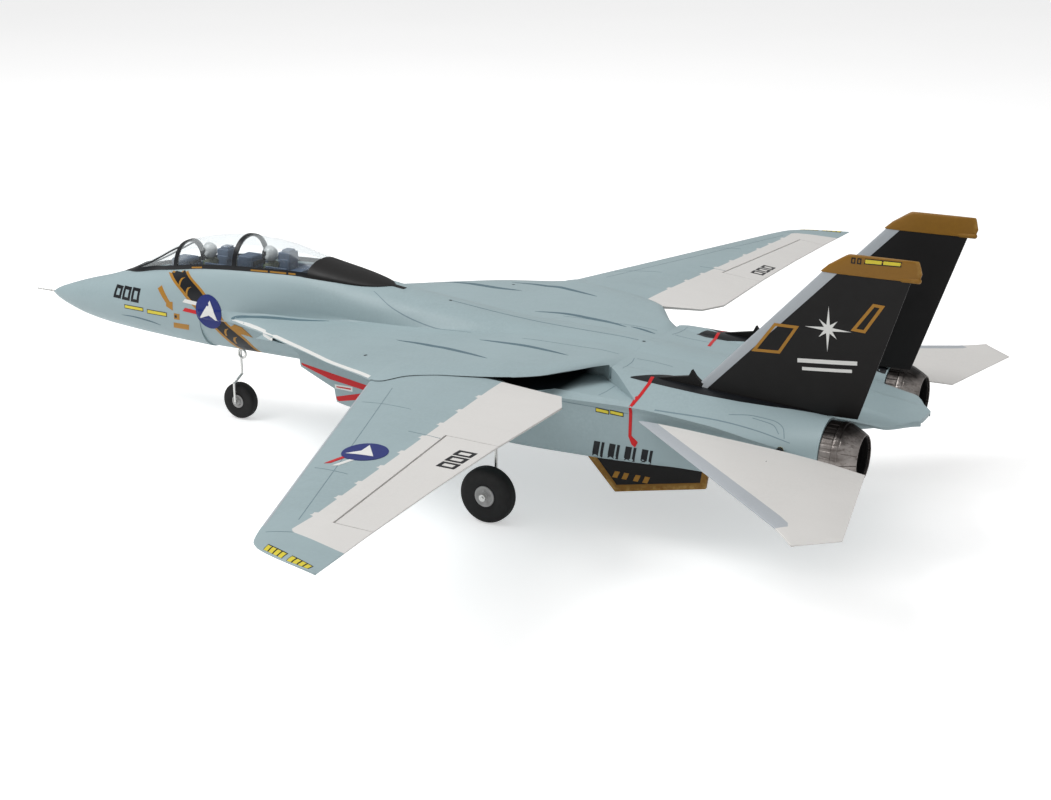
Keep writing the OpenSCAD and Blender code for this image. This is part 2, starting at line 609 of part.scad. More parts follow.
// [fraction of chord, fraction of half thickness]
stab_profile = [[0, 0.2], [0.06, 0.62], [0.3, 1], [0.72, 0.95], [1, 0.2]];
stab_shaft_r = 2;

// mid plane, sloping down aft and outward
function stab_plane(x, y) = 168 - 0.0535 * (y - 412) - 0.024 * (x - 178);
function stab_face(x, side) = let (half = lookup(x, stab_thickness) / 2)
  [for (p = stab_profile) let (y = mix(lookup(x, stab_front), lookup(x, stab_rear), p[0]))
    [y, stab_plane(x, y) + side * half * p[1]]];
module stab_panel() difference() {
  x_loft(stab_stations,
    [for (x = stab_stations) concat(stab_face(x, 1), reversed(stab_face(x, -1)))]);
  x_cylinder(2.4, 170, 217, stab_pivot);
}

// cranks stand square to the line from servo shaft to pivot; vectors are [y, z]
crank_length = 11;
crank_pin_r = 1;
drive = (stab_pivot - servo_shaft) / norm(stab_pivot - servo_shaft);
horn = [drive[1], -drive[0]] * crank_length;
module crank(at, boss_r, bore_r = 0) difference() {
  union() {
    x_cylinder(boss_r, 172, 174, at);
    x_cylinder(2.6, 172, 174, at + horn);
    translate([172, at[0], at[1]]) rotate([atan2(horn[1], horn[0]), 0, 0])
      box([0, 0, -1.6], [2, crank_length, 1.6]);
    x_cylinder(crank_pin_r, 173, 177.3, at + horn);
  }
  if (bore_r > 0) x_cylinder(bore_r, 170, 180, at);
}
module stab_shaft() {
  x_cylinder(stab_shaft_r, 161, 214, stab_pivot);
  crank(stab_pivot, 4.4);
}
module stab_arm() crank(servo_shaft, 4.2, 2 + run);
module stab_rod() {
  ends = [servo_shaft + horn, stab_pivot + horn];
  difference() {
    union() {
      for (p = ends) x_cylinder(2.6, 174.5, 176.7, p);
      rod(concat(175.6, ends[0]), concat(175.6, ends[1]), 0.9);
    }
    for (p = ends) x_cylinder(crank_pin_r + run, 170, 180, p);
  }
}
module stab_bushes() color([0.8, 0.7, 0.4]) both() difference() {
  x_cylinder(4.6, 160.6, 170.3, stab_pivot);
  x_cylinder(stab_shaft_r + run, 150, 180, stab_pivot);
}
module left_stab() color(surface_white) resize([0, 0, 0]) stab_panel();
module right_stab() color(surface_white) resize([0, 0, 0]) mirror([1, 0, 0]) stab_panel();
module left_stab_shaft() color(shaft_grey) stab_shaft();
module right_stab_shaft() color(shaft_grey) mirror([1, 0, 0]) stab_shaft();
module left_stab_arm() color(arm_white) stab_arm();
module right_stab_arm() color(arm_white) mirror([1, 0, 0]) stab_arm();
module left_stab_rod() color(rod_steel) stab_rod();
module right_stab_rod() color(rod_steel) mirror([1, 0, 0]) stab_rod();

// ---- main gear ----
main_axle = [main_leg[1], main_r];   // [y, z]
module main_gear_mounts() color(mount_grey) both() difference() {
  box([147, main_leg[1] - 14, 107.5], [165.3, main_leg[1] + 14, 123]);
  post([main_leg[0], main_leg[1], 100], 30, wire_r + run, 40);
}
module main_gear_wires() color(wire_steel) both() {
  bend = [main_leg[0], main_leg[1], main_r];
  rod(bend, [main_leg[0], main_leg[1], 122], wire_r);
  ball(bend, wire_r + 0.3);
  rod(bend, [200, main_leg[1], main_r], wire_r);
}
module wheel_collars() color(rod_steel) both() for (span = [[165, 169.3], [194.8, 198.6]])
  difference() {
    x_cylinder(4.6, span[0], span[1], main_axle);
    x_cylinder(wire_r + run, 160, 205, main_axle);
  }

// ---- nose leg and steering link ----
nose_axle_y = -325;
steer_servo_y = -288;
steer_z = 137.5;   // underside of both steering cranks
steer_x = 12;      // reach of both steering cranks
steer_pin_r = 1;

module steering_servo() color(servo_black) {
  box([-6, -305, 122.4], [6, -282, 136]);
  post([0, steer_servo_y, 135], 2.4, 4);
  post([0, steer_servo_y, 137], 4, 2);
}
module nose_gear_block() color(mount_grey) difference() {
  box([-12, nose_leg_y - 12, 115], [12, nose_leg_y + 12, 134]);
  post([0, nose_leg_y, 100], 40, wire_r + run, 40);
}
module steering_crank(y, boss_r, half_width) {
  post([0, y, steer_z], 2.5, boss_r, 40);
  box([0, y - half_width, steer_z], [steer_x, y + half_width, steer_z + 2.5]);
  post([steer_x, y, steer_z], 2.5, 3);
  post([steer_x, y, steer_z + 1.5], 5, steer_pin_r);
}
module nose_gear_wire() color(wire_steel) {
  path = [[0, nose_leg_y, 141], [0, nose_leg_y, 70], [14, nose_axle_y, 58],
    [14, nose_axle_y, nose_r], [-14, nose_axle_y, nose_r]];
  for (i = [0 : 3]) rod(path[i], path[i + 1], wire_r);
  for (i = [1 : 3]) ball(path[i], wire_r + 0.3);
  // spring coil, as a plain ring
  translate([2.6, -315.6, 103]) rotate([0, 90, 0])
    rotate_extrude($fn = 48) translate([6.5, 0]) circle(r = wire_r - 0.2, $fn = 32);
  steering_crank(nose_leg_y, 5, 2.5);
  post([0, nose_leg_y, 134.3], 2, 4, 40);
}
module steering_arm() color(arm_white) difference() {
  steering_crank(steer_servo_y, 4.2, 2.2);
  post([0, steer_servo_y, 130], 20, 2 + run);
}
module steering_rod() color(rod_steel) difference() {
  union() {
    for (y = [nose_leg_y, steer_servo_y]) post([steer_x, y, 140.6], 2.4, 2.6);
    rod([steer_x, nose_leg_y, 141.8], [steer_x, steer_servo_y, 141.8], 0.9);
  }
  for (y = [nose_leg_y, steer_servo_y]) post([steer_x, y, 130], 20, steer_pin_r + run);
}

// ---- wheels: a wheel is [centre, hub radius, width], its radius the height of its centre ----
nose_wheel = [[0, nose_axle_y, nose_r], 10, 19];
left_wheel = [[182, main_leg[1], main_r], 14, 23];
right_wheel = [[-182, main_leg[1], main_r], 14, 23];

module tyre(wheel) {
  r = wheel[0][2];
  hub_r = wheel[1];
  half = wheel[2] / 2;
  side = [[hub_r, 1.5 - half], [hub_r + 2, 0.6 - half], [r - 8, -half], [r - 3.4, 1.6 - half],
    [r - 0.9, 4.6 - half], [r, 8 - half]];
  translate(wheel[0]) rotate([0, 90, 0]) rotate_extrude($fn = 96)
    polygon(concat(side, reversed([for (p = side) [p[0], -p[1]]])));
}
module hub(wheel) {
  rim = wheel[1];
  half = wheel[2] / 2;
  side = [[0, -half - 0.8], [5, -half - 0.8], [6, 1 - half], [rim - 3, 2.4 - half],
    [rim - 0.02, 1.6 - half]];
  translate(wheel[0]) rotate([0, 90, 0]) difference() {
    rotate_extrude($fn = 64) polygon(concat(side, reversed([for (p = side) [p[0], -p[1]]])));
    post([0, 0, -50], 100, wire_r + run, 40);
  }
}
module nose_tyre() color(tyre_black) tyre(nose_wheel);
module nose_hub() color(hub_grey) hub(nose_wheel);
module left_tyre() color(tyre_black) tyre(left_wheel);
module left_hub() color(hub_grey) hub(left_wheel);
module right_tyre() color(tyre_black) tyre(right_wheel);
module right_hub() color(hub_grey) hub(right_wheel);

// ---- hatch, canopy and cockpit ----
module hatch_frame() color(hatch_black) resize([0, 0, 0]) {
  intersection() {
    hatch_skin(2.2, 12);
    union() {
      sill_band(7);
      hatch_nose(-489);
    }
  }
  // bows, standing slightly proud of the glass
  intersection() {
    hatch_loft(hatch_stations, -0.6);
    bows();
    difference() {
      box([-80, -600, 100], [80, 0, 400]);
      hatch_loft(hatch_stations, 2.4, 3);
    }
  }
}
module canopy_glass() color([0.9, 0.93, 0.95, 0.3]) resize([0, 0, 0]) difference() {
  hatch_skin(1.4, 20);
  sill_band(7.15);
  hatch_nose(-488.8);
  bows(0.12);
  box([-60, -165.4, 100], [60, -100, 400]);
}
module rear_fairing() color(hatch_black) resize([0, 0, 0]) difference() {
  hatch_loft(fairing_stations);
  // the front section of the hollow is moved forward to open the end
  y_loft([-168, -150, -120, -90], [for (y = [-165, -150, -120, -90]) hatch_section(y, 2.5, 3)]);
  sill_band(7.15, -200, -164.9);
}
module cockpit_tub() color(cockpit_blue) intersection() {
  union() {
    difference() {
      translate([0, 0, 200]) linear_extrude(60) tub_plan();
      translate([0, 0, 201.6]) linear_extrude(60) tub_plan(-1.8);
    }
    // upright blocks ahead of each seat
    box([-17, -428, 201], [17, -402, 242]);
    box([-15, -305, 201], [15, -281, 259]);
    // side blocks
    for (x = [-25, 18]) {
      box([x, -270, 201], [x + 7, -225, 232]);
      box([x, -390, 201], [x + 7, -340, 226]);
    }
  }
  union() {
    side_prism(concat([[-500, 190]],
      [for (p = sill_line) if (p[0] < -150) [p[0], p[1] - 0.6]], [[-160, 190]]));
    box([-18, -440, 200], [18, -270, 270]);
  }
}
seat_places = [[-346, 266], [-236, 273]];   // [front of the backrest, its top]
module seats() color(cockpit_blue) for (s = seat_places) {
  box([-13, s[0], 202], [13, s[0] + 22, s[1]]);
  box([-13, s[0] - 24, 202], [13, s[0] + 1, 212]);
}
module pilots() color(hub_grey) for (s = seat_places) {
  y = s[0] - 20;
  head_z = s[1] - 11;
  ball([0, y, head_z], 11.3);
  rod([0, y + 2, 214], [0, y + 2, head_z - 6], 8.6);
  rod([-12, y + 1, head_z - 17], [12, y + 1, head_z - 17], 6.5);
}

placed() nose_shell();
placed() upper_shell();
placed() lower_shell();
placed() pitot_tube();
placed() nozzles();
placed() left_fin();
placed() right_fin();
placed() ventral_fins();
placed() fan_housings();
placed() fan_motors();
placed() battery();
placed() battery_tray();
placed() speed_controllers();
placed() receiver();
placed() sweep_servos();
placed() steering_servo();
placed() stab_servos();
placed() spar_plate();
placed() pivot_bolts();
placed() stab_bushes();
placed() main_gear_mounts();
placed() main_gear_wires();
placed() nose_gear_block();
placed() deck_screws();
placed() wheel_collars();
placed() left_rotor();
placed() right_rotor();
placed() left_wing();
placed() left_root_plate();
placed() left_aileron_servo();
placed() left_aileron();
placed() left_torque_rod();
placed() right_wing();
placed() right_root_plate();
placed() right_aileron_servo();
placed() right_aileron();
placed() right_torque_rod();
placed() left_stab();
placed() left_stab_shaft();
placed() right_stab();
placed() right_stab_shaft();
placed() left_stab_arm();
placed() left_stab_rod();
placed() right_stab_arm();
placed() right_stab_rod();
placed() nose_gear_wire();
placed() steering_arm();
placed() steering_rod();
placed() nose_tyre();
placed() nose_hub();
placed() left_tyre();
placed() left_hub();
placed() right_tyre();
placed() right_hub();
placed() hatch_frame();
placed() canopy_glass();
placed() rear_fairing();
placed() cockpit_tub();
placed() seats();
placed() pilots();
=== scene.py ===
import bpy, bmesh, math, json
import numpy as np
from mathutils import Vector, Matrix
from mathutils.bvhtree import BVHTree
from mathutils.geometry import delaunay_2d_cdt

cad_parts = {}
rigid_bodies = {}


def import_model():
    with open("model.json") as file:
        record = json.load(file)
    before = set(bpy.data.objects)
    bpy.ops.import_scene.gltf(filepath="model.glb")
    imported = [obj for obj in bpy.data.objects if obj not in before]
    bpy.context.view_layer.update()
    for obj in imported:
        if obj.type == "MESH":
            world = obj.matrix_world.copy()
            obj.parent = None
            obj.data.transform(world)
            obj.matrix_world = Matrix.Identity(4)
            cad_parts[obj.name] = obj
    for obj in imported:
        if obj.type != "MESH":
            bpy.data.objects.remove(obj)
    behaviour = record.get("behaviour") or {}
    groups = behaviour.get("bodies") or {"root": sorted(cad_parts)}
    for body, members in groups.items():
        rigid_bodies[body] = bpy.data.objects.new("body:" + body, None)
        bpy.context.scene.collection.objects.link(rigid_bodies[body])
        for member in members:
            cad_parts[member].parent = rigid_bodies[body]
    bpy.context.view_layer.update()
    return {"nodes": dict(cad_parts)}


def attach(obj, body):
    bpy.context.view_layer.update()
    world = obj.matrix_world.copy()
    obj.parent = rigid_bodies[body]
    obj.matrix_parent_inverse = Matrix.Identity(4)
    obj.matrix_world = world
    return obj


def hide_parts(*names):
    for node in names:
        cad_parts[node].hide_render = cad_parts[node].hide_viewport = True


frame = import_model()
Y0 = 8.0   # the section tables below count y from 8 mm behind the row frame's origin

# ------------------------------------------------------------------ helpers
def pchip(t):
    x = np.array([p[0] for p in t], float); y = np.array([p[1] for p in t], float)
    h = np.diff(x); d = np.diff(y) / h; m = np.zeros(len(x)); m[0] = d[0]; m[-1] = d[-1]
    for i in range(1, len(x) - 1):
        if d[i - 1] * d[i] > 0:
            w1 = 2 * h[i] + h[i - 1]; w2 = h[i] + 2 * h[i - 1]
            m[i] = (w1 + w2) / (w1 / d[i - 1] + w2 / d[i])
    def f(q):
        q = np.clip(np.asarray(q, float), x[0], x[-1])
        i = np.clip(np.searchsorted(x, q, side="right") - 1, 0, len(h) - 1)
        s = (q - x[i]) / h[i]
        return (1 + 2 * s) * (1 - s) ** 2 * y[i] + s * (1 - s) ** 2 * h[i] * m[i] + s * s * (3 - 2 * s) * y[i + 1] + s * s * (s - 1) * h[i] * m[i + 1]
    return f

def lin(t):
    x = [p[0] for p in t]; y = [p[1] for p in t]
    return lambda q: np.interp(q, x, y)

def mix(a, b, t): return a + (b - a) * t
def cl(t): return np.clip(t, 0, 1)
def mm(p): return (p[0] / 1000, (p[1] - Y0) / 1000, p[2] / 1000)

def make(name, verts, faces, scale=True):
    me = bpy.data.meshes.new(name)
    me.from_pydata([mm(v) for v in verts] if scale else [tuple(v) for v in verts], [], [tuple(int(i) for i in f) for f in faces])
    me.validate(); me.update()
    o = bpy.data.objects.new(name, me)
    bpy.context.scene.collection.objects.link(o)
    return o

def fix_normals(o):
    bm = bmesh.new(); bm.from_mesh(o.data)
    bmesh.ops.recalc_face_normals(bm, faces=bm.faces)
    bm.to_mesh(o.data); bm.free(); return o

def loft(name, rings, caps=True, fix=True):
    """rings: list of equal-length lists of (x, y, z) in mm."""
    n = len(rings[0]); m = len(rings)
    V = [p for r in rings for p in r]; F = []
    for i in range(m - 1):
        for j in range(n):
            k = (j + 1) % n
            F.append((i * n + j, i * n + k, (i + 1) * n + k, (i + 1) * n + j))
    if caps:
        F.append(tuple(range(n))[::-1]); F.append(tuple((m - 1) * n + j for j in range(n)))
    o = make(name, V, F)
    if caps:
        bm = bmesh.new(); bm.from_mesh(o.data)
        bmesh.ops.triangulate(bm, faces=[f for f in bm.faces if len(f.verts) > 4])
        bm.to_mesh(o.data); bm.free()
    return fix_normals(o) if fix else o

def prism(name, pts, axis, lo, hi):
    """polygon pts (2-D) extruded from lo to hi along axis ('x': pts are y,z; 'y': x,z; 'z': x,y)."""
    def at(p, h): return {"x": (h, p[0], p[1]), "y": (p[0], h, p[1]), "z": (p[0], p[1], h)}[axis]
    return loft(name, [[at(p, lo) for p in pts], [at(p, hi) for p in pts]])

def cyl(name, p, q, r, n=48, r2=None):
    p = np.array(p, float); q = np.array(q, float); d = (q - p) / np.linalg.norm(q - p)
    a = np.cross(d, [0, 0, 1] if abs(d[2]) < 0.9 else [1, 0, 0]); a /= np.linalg.norm(a); b = np.cross(d, a)
    ring = lambda c, rr: [tuple(c + rr * (math.cos(2 * math.pi * i / n) * a + math.sin(2 * math.pi * i / n) * b)) for i in range(n)]
    return loft(name, [ring(p, r), ring(q, r if r2 is None else r2)])

def block(name, a, b):
    return prism(name, [(a[0], a[1]), (b[0], a[1]), (b[0], b[1]), (a[0], b[1])], "z", a[2], b[2])

def evaluate(o):
    dg = bpy.context.evaluated_depsgraph_get(); dg.update()
    me = bpy.data.meshes.new_from_object(o.evaluated_get(dg))
    o.modifiers.clear(); old = o.data; o.data = me; bpy.data.meshes.remove(old); return o

def boolean(a, others, op="DIFFERENCE", keep=False, solver="MANIFOLD"):
    for b in (others if isinstance(others, (list, tuple)) else [others]):
        before = len(a.data.polygons)
        for s in (solver, "EXACT"):
            m = a.modifiers.new("b", "BOOLEAN"); m.operation = op; m.solver = s; m.object = b
            dg = bpy.context.evaluated_depsgraph_get(); dg.update()
            me = bpy.data.meshes.new_from_object(a.evaluated_get(dg)); a.modifiers.clear()
            if len(me.polygons) > 3 and not (len(me.polygons) == before and s == "MANIFOLD" and b.get("must")):
                old = a.data; a.data = me; bpy.data.meshes.remove(old); break
            bpy.data.meshes.remove(me)
        else:
            print("BOOLEAN FAILED", a.name, b.name)
        if not keep:
            bpy.data.objects.remove(b)
    return a

def mirrored(o, name):
    me = o.data.copy(); me.transform(Matrix.Scale(-1, 4, (1, 0, 0))); me.flip_normals()
    c = bpy.data.objects.new(name, me); bpy.context.scene.collection.objects.link(c); return c

def joined(name, objs):
    bm = bmesh.new()
    mats = []
    for o in objs:
        base = len(mats); mats += [m for m in o.data.materials]
        start = len(bm.faces)
        bm.from_mesh(o.data); bm.faces.ensure_lookup_table()
        if len(o.data.materials):
            for f in bm.faces[start:]: f.material_index += base
    me = bpy.data.meshes.new(name); bm.to_mesh(me); bm.free()
    for m in mats: me.materials.append(m)
    c = bpy.data.objects.new(name, me); bpy.context.scene.collection.objects.link(c)
    for o in objs: bpy.data.objects.remove(o)
    return c

def smooth(o, deg=32, weighted=True):
    bm = bmesh.new(); bm.from_mesh(o.data)
    for f in bm.faces: f.smooth = True
    for e in bm.edges:
        e.smooth = not (len(e.link_faces) != 2 or e.calc_face_angle(0) > math.radians(deg))
    bm.to_mesh(o.data); bm.free()
    if weighted:
        m = o.modifiers.new("wn", "WEIGHTED_NORMAL"); m.keep_sharp = True; m.weight = 60
        evaluate(o)
    return o

def finish_piece(o, mat, body, replaces=(), deg=32, weighted=True):
    if mat is not None:
        o.data.materials.clear(); o.data.materials.append(mat)
    smooth(o, deg, weighted)
    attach(o, body)
    if replaces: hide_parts(*replaces)
    return o
# ------------------------------------------------------------------ materials, all from nodes
def lin_rgb(r, g, b):
    f = lambda c: (c / 255 / 12.92) if c / 255 <= 0.04045 else ((c / 255 + 0.055) / 1.055) ** 2.4
    return (f(r), f(g), f(b), 1.0)

class Mat:
    def __init__(self, name):
        self.m = bpy.data.materials.new(name); self.m.use_nodes = True; self.t = self.m.node_tree
        self.b = self.t.nodes["Principled BSDF"]; self.tc = self.n("ShaderNodeTexCoord").outputs["Object"]
    def n(self, kind, **kw):
        x = self.t.nodes.new(kind)
        for k, v in kw.items():
            if k in x.inputs.keys(): x.inputs[k].default_value = v
            else: setattr(x, k, v)
        return x
    def l(self, a, b): self.t.links.new(a, b)
    def noise(self, scale, detail=3, rough=0.5, stretch=None):
        x = self.n("ShaderNodeTexNoise", Scale=scale, Detail=detail, Roughness=rough)
        src = self.tc
        if stretch:
            mp = self.n("ShaderNodeMapping"); mp.inputs["Scale"].default_value = stretch; self.l(src, mp.inputs["Vector"]); src = mp.outputs[0]
        self.l(src, x.inputs["Vector"]); return x.outputs["Fac"]
    def voronoi(self, scale, feature="F1"):
        x = self.n("ShaderNodeTexVoronoi", Scale=scale); x.feature = feature; self.l(self.tc, x.inputs["Vector"]); return x.outputs["Distance"]
    def ramp(self, fac, a, b, ca=(0, 0, 0, 1), cb=(1, 1, 1, 1)):
        x = self.n("ShaderNodeValToRGB"); x.color_ramp.elements[0].position = a; x.color_ramp.elements[1].position = b
        x.color_ramp.elements[0].color = ca; x.color_ramp.elements[1].color = cb; self.l(fac, x.inputs["Fac"]); return x.outputs["Color"]
    def mixc(self, fac, a, b, mode="MIX"):
        x = self.n("ShaderNodeMix"); x.data_type = "RGBA"; x.blend_type = mode
        i = [s for s in x.inputs if s.type == "RGBA"]; f = x.inputs[0]
        for s, v in ((f, fac), (i[0], a), (i[1], b)):
            if isinstance(v, bpy.types.NodeSocket): self.l(v, s)
            else: s.default_value = v
        return [s for s in x.outputs if s.type == "RGBA"][0]
    def math(self, op, a, b=0.0):
        x = self.n("ShaderNodeMath"); x.operation = op
        for s, v in zip(x.inputs, (a, b)):
            if isinstance(v, bpy.types.NodeSocket): self.l(v, s)
            else: s.default_value = v
        return x.outputs[0]
    def bump(self, height, strength, dist, prev=None):
        x = self.n("ShaderNodeBump", Strength=strength, Distance=dist); self.l(height, x.inputs["Height"])
        if prev is not None: self.l(prev, x.inputs["Normal"])
        return x.outputs["Normal"]

def scaled(c, k): return (min(1, c[0] * k), min(1, c[1] * k), min(1, c[2] * k), 1)

def paint(name, col, rough=0.42, var=0.06, bead=0.35, dirt=0.10, wear=None, sheen=0.0):
    """painted foam: mottled colour, faint moulded bead cells, streaky grime, worn edges"""
    m = Mat(name)
    c = m.mixc(m.ramp(m.noise(7, 4, 0.6), 0.3, 0.7), scaled(col, 1 - var), scaled(col, 1 + var))
    c = m.mixc(m.ramp(m.noise(260, 2, 0.5), 0.35, 0.75), c, scaled(col, 1 + var * 0.6))
    st = m.ramp(m.noise(26, 5, 0.65, (1.0, 0.16, 1.0)), 0.5, 0.78)
    f = m.math("MULTIPLY", st, dirt)
    c = m.mixc(f, c, scaled(col, 0.62))
    if wear:
        g = m.n("ShaderNodeNewGeometry").outputs["Pointiness"]
        w = m.math("MULTIPLY", m.ramp(g, 0.53, 0.6), m.ramp(m.noise(90, 4, 0.7), 0.42, 0.6))
        c = m.mixc(m.math("MULTIPLY", w, 0.55), c, wear)
    m.l(c, m.b.inputs["Base Color"])
    r = m.math("ADD", m.math("MULTIPLY", m.noise(55, 4, 0.6), 0.22), rough - 0.11)
    m.l(r, m.b.inputs["Roughness"])
    cell = m.voronoi(330, "DISTANCE_TO_EDGE")
    cr = m.ramp(cell, 0.0, 0.22)
    b1 = m.bump(cr, bead * 0.25, 0.00012)
    b2 = m.bump(m.noise(40, 3, 0.5), 0.10, 0.0006, b1)
    m.l(b2, m.b.inputs["Normal"])
    m.b.inputs["Specular IOR Level"].default_value = 0.3
    return m.m

def plastic(name, col, rough=0.35, grain=900, var=0.08, metallic=0.0, coat=0.0):
    m = Mat(name)
    c = m.mixc(m.ramp(m.noise(40, 4, 0.6), 0.3, 0.7), scaled(col, 1 - var), scaled(col, 1 + var))
    m.l(c, m.b.inputs["Base Color"])
    m.l(m.math("ADD", m.math("MULTIPLY", m.noise(120, 4, 0.6), 0.2), rough - 0.1), m.b.inputs["Roughness"])
    m.l(m.bump(m.noise(grain, 2, 0.5), 0.12, 0.00008), m.b.inputs["Normal"])
    m.b.inputs["Metallic"].default_value = metallic
    if coat: m.b.inputs["Coat Weight"].default_value = coat
    return m.m

def metal(name, col, rough=0.28, stretch=(1, 1, 1), var=0.1):
    m = Mat(name)
    n = m.noise(420, 4, 0.7, stretch)
    c = m.mixc(m.ramp(n, 0.35, 0.7), scaled(col, 1 - var), scaled(col, 1 + var)); m.l(c, m.b.inputs["Base Color"])
    m.l(m.math("ADD", m.math("MULTIPLY", m.noise(200, 3, 0.6), 0.18), rough - 0.09), m.b.inputs["Roughness"])
    m.l(m.bump(n, 0.08, 0.00005), m.b.inputs["Normal"]); m.b.inputs["Metallic"].default_value = 1.0
    return m.m

GREY = lin_rgb(153, 171, 175); WHITE = lin_rgb(214, 212, 209); BLACK = lin_rgb(15, 13, 13); GOLD = lin_rgb(136, 96, 30); TEAL = lin_rgb(86, 110, 120); PALE = lin_rgb(172, 177, 182)
M_GREY = paint("painted_foam_grey", GREY)
M_WHITE = paint("painted_foam_white", WHITE, 0.45, 0.03, 0.3, 0.05)
M_BLACK = paint("painted_foam_black", BLACK, 0.5, 0.15, 0.25, 0.1)
M_GOLD = paint("painted_foam_ochre", GOLD, 0.4, 0.12, 0.3, 0.22, wear=lin_rgb(196, 160, 90))
# teal film colour: painted shade in the hump-deck fillet and on the deck streaks, also a thin tapered line on the nose
# side
M_TEAL = paint("streak_teal", TEAL, 0.42, 0.14, 0.3, 0.15)
def slot_lining():
    """painted shade: dark at the wing end of the slot, the body's grey further back"""
    m = Mat("slot_lining"); sep = m.n("ShaderNodeSeparateXYZ"); m.t.links.new(m.tc, sep.inputs[0])
    c = lambda q: (q[0], q[1], q[2], 1)
    m.l(m.mixc(m.ramp(sep.outputs["Y"], 0.286, 0.304), c(lin_rgb(30, 38, 42)), c(GREY)), m.b.inputs["Base Color"])
    m.b.inputs["Roughness"].default_value = 0.55; m.b.inputs["Specular IOR Level"].default_value = 0.25; return m.m
# painted shade inside the wing slots: the slot walls are coloured dark where they lie in shade
M_SLOT_SHADE = slot_lining()
# pale grey for the real leading-edge strips of fin and stab, also used as a painted highlight along the wing's leading
# edge
M_PALE = paint("edge_pale_grey", PALE, 0.42, 0.05, 0.3, 0.08)
M_RED = paint("film_red", lin_rgb(196, 20, 26), 0.32, 0.08, 0.15, 0.08)
M_BLUE = paint("film_blue", lin_rgb(22, 38, 110), 0.32, 0.1, 0.15, 0.06)
M_FWHITE = paint("film_white", lin_rgb(225, 225, 222), 0.32, 0.03, 0.15, 0.05)
M_FBLACK = paint("film_black", lin_rgb(18, 20, 24), 0.34, 0.1, 0.15, 0.05)
M_YELLOW = paint("film_yellow", lin_rgb(214, 198, 60), 0.32, 0.08, 0.15, 0.08)
M_FGOLD = paint("film_ochre", lin_rgb(166, 118, 40), 0.32, 0.1, 0.15, 0.1)
M_LINE = paint("panel_line", lin_rgb(116, 136, 144), 0.5, 0.08, 0.1, 0.2)
M_TUB = plastic("cockpit_slate", lin_rgb(70, 88, 112), 0.5, 700, 0.12)
M_TUB2 = plastic("cockpit_dark", lin_rgb(28, 32, 38), 0.5, 700, 0.12)
M_HELM = plastic("helmet_shell", lin_rgb(186, 188, 188), 0.25, 900, 0.05, 0, 0.4)
M_VISOR = plastic("visor_black", lin_rgb(10, 10, 12), 0.35, 900, 0.1); M_VISOR.node_tree.nodes["Principled BSDF"].inputs["Specular IOR Level"].default_value = 0.25
M_SUIT = plastic("suit_green", lin_rgb(58, 92, 44), 0.7, 500, 0.2)
M_SUIT2 = plastic("suit_olive", lin_rgb(84, 90, 70), 0.75, 500, 0.2)
M_TYRE = plastic("tyre_rubber", lin_rgb(13, 12, 12), 0.7, 500, 0.2)
M_HUB = plastic("hub_plastic", lin_rgb(176, 175, 174), 0.35, 700, 0.06)
M_BPL = plastic("black_nylon", lin_rgb(26, 26, 27), 0.42, 800, 0.12)
M_WPL = plastic("white_nylon", lin_rgb(216, 214, 206), 0.4, 800, 0.05)
M_STEEL = metal("spring_wire", (0.72, 0.72, 0.70, 1), 0.26, (1, 1, 0.08))
M_BRASS = metal("turned_brass", (0.72, 0.52, 0.22, 1), 0.28)
M_MOTOR = metal("anodised_red", (0.45, 0.05, 0.03, 1), 0.3)
M_BATT = plastic("shrink_blue", lin_rgb(24, 56, 130), 0.22, 300, 0.15, 0, 0.3)
M_ESC = plastic("shrink_dark", lin_rgb(20, 30, 60), 0.25, 300, 0.15, 0, 0.3)

def wood():
    m = Mat("birch_ply"); w = m.n("ShaderNodeTexWave", Scale=60.0, Distortion=6.0, Detail=3.0); m.l(m.tc, w.inputs["Vector"])
    c = m.mixc(m.ramp(w.outputs["Fac"], 0.2, 0.8), lin_rgb(196, 160, 112), lin_rgb(222, 190, 142)); m.l(c, m.b.inputs["Base Color"])
    m.b.inputs["Roughness"].default_value = 0.6; m.l(m.bump(w.outputs["Fac"], 0.1, 0.0001), m.b.inputs["Normal"]); return m.m
M_PLY = wood()

def carbon():
    m = Mat("carbon_weave"); ch = m.n("ShaderNodeTexChecker", Scale=500.0); m.l(m.tc, ch.inputs["Vector"])
    c = m.mixc(ch.outputs["Fac"], (0.012, 0.012, 0.013, 1), (0.035, 0.035, 0.038, 1)); m.l(c, m.b.inputs["Base Color"])
    m.b.inputs["Roughness"].default_value = 0.25; m.b.inputs["Coat Weight"].default_value = 0.5
    m.l(m.bump(ch.outputs["Fac"], 0.1, 0.00005), m.b.inputs["Normal"]); return m.m
M_CARBON = carbon()

def nozzle_mat():
    m = Mat("burnt_nozzle")
    base = m.mixc(m.ramp(m.noise(30, 5, 0.65), 0.3, 0.72), lin_rgb(112, 104, 100), lin_rgb(178, 172, 168))
    base = m.mixc(m.ramp(m.noise(160, 4, 0.7, (1, 0.12, 1)), 0.5, 0.72), base, lin_rgb(72, 62, 58))
    sp = m.n("ShaderNodeSeparateXYZ"); m.l(m.tc, sp.inputs[0])
    up = m.math("ADD", m.math("MULTIPLY", m.math("SUBTRACT", sp.outputs["Z"], 0.149), 25.0), m.math("MULTIPLY", m.noise(50, 3, 0.6), 0.35))
    k = m.ramp(up, 0.72, 1.0)
    m.l(m.mixc(k, base, lin_rgb(26, 22, 20)), m.b.inputs["Base Color"])
    m.b.inputs["Metallic"].default_value = 0.75
    m.l(m.math("ADD", m.math("MULTIPLY", m.noise(90, 4, 0.6), 0.25), 0.22), m.b.inputs["Roughness"])
    m.l(m.bump(m.noise(300, 3, 0.6), 0.15, 0.0001), m.b.inputs["Normal"]); return m.m
M_NOZ = nozzle_mat()
M_SOOT = plastic("duct_soot", lin_rgb(20, 18, 17), 0.6, 400, 0.25)

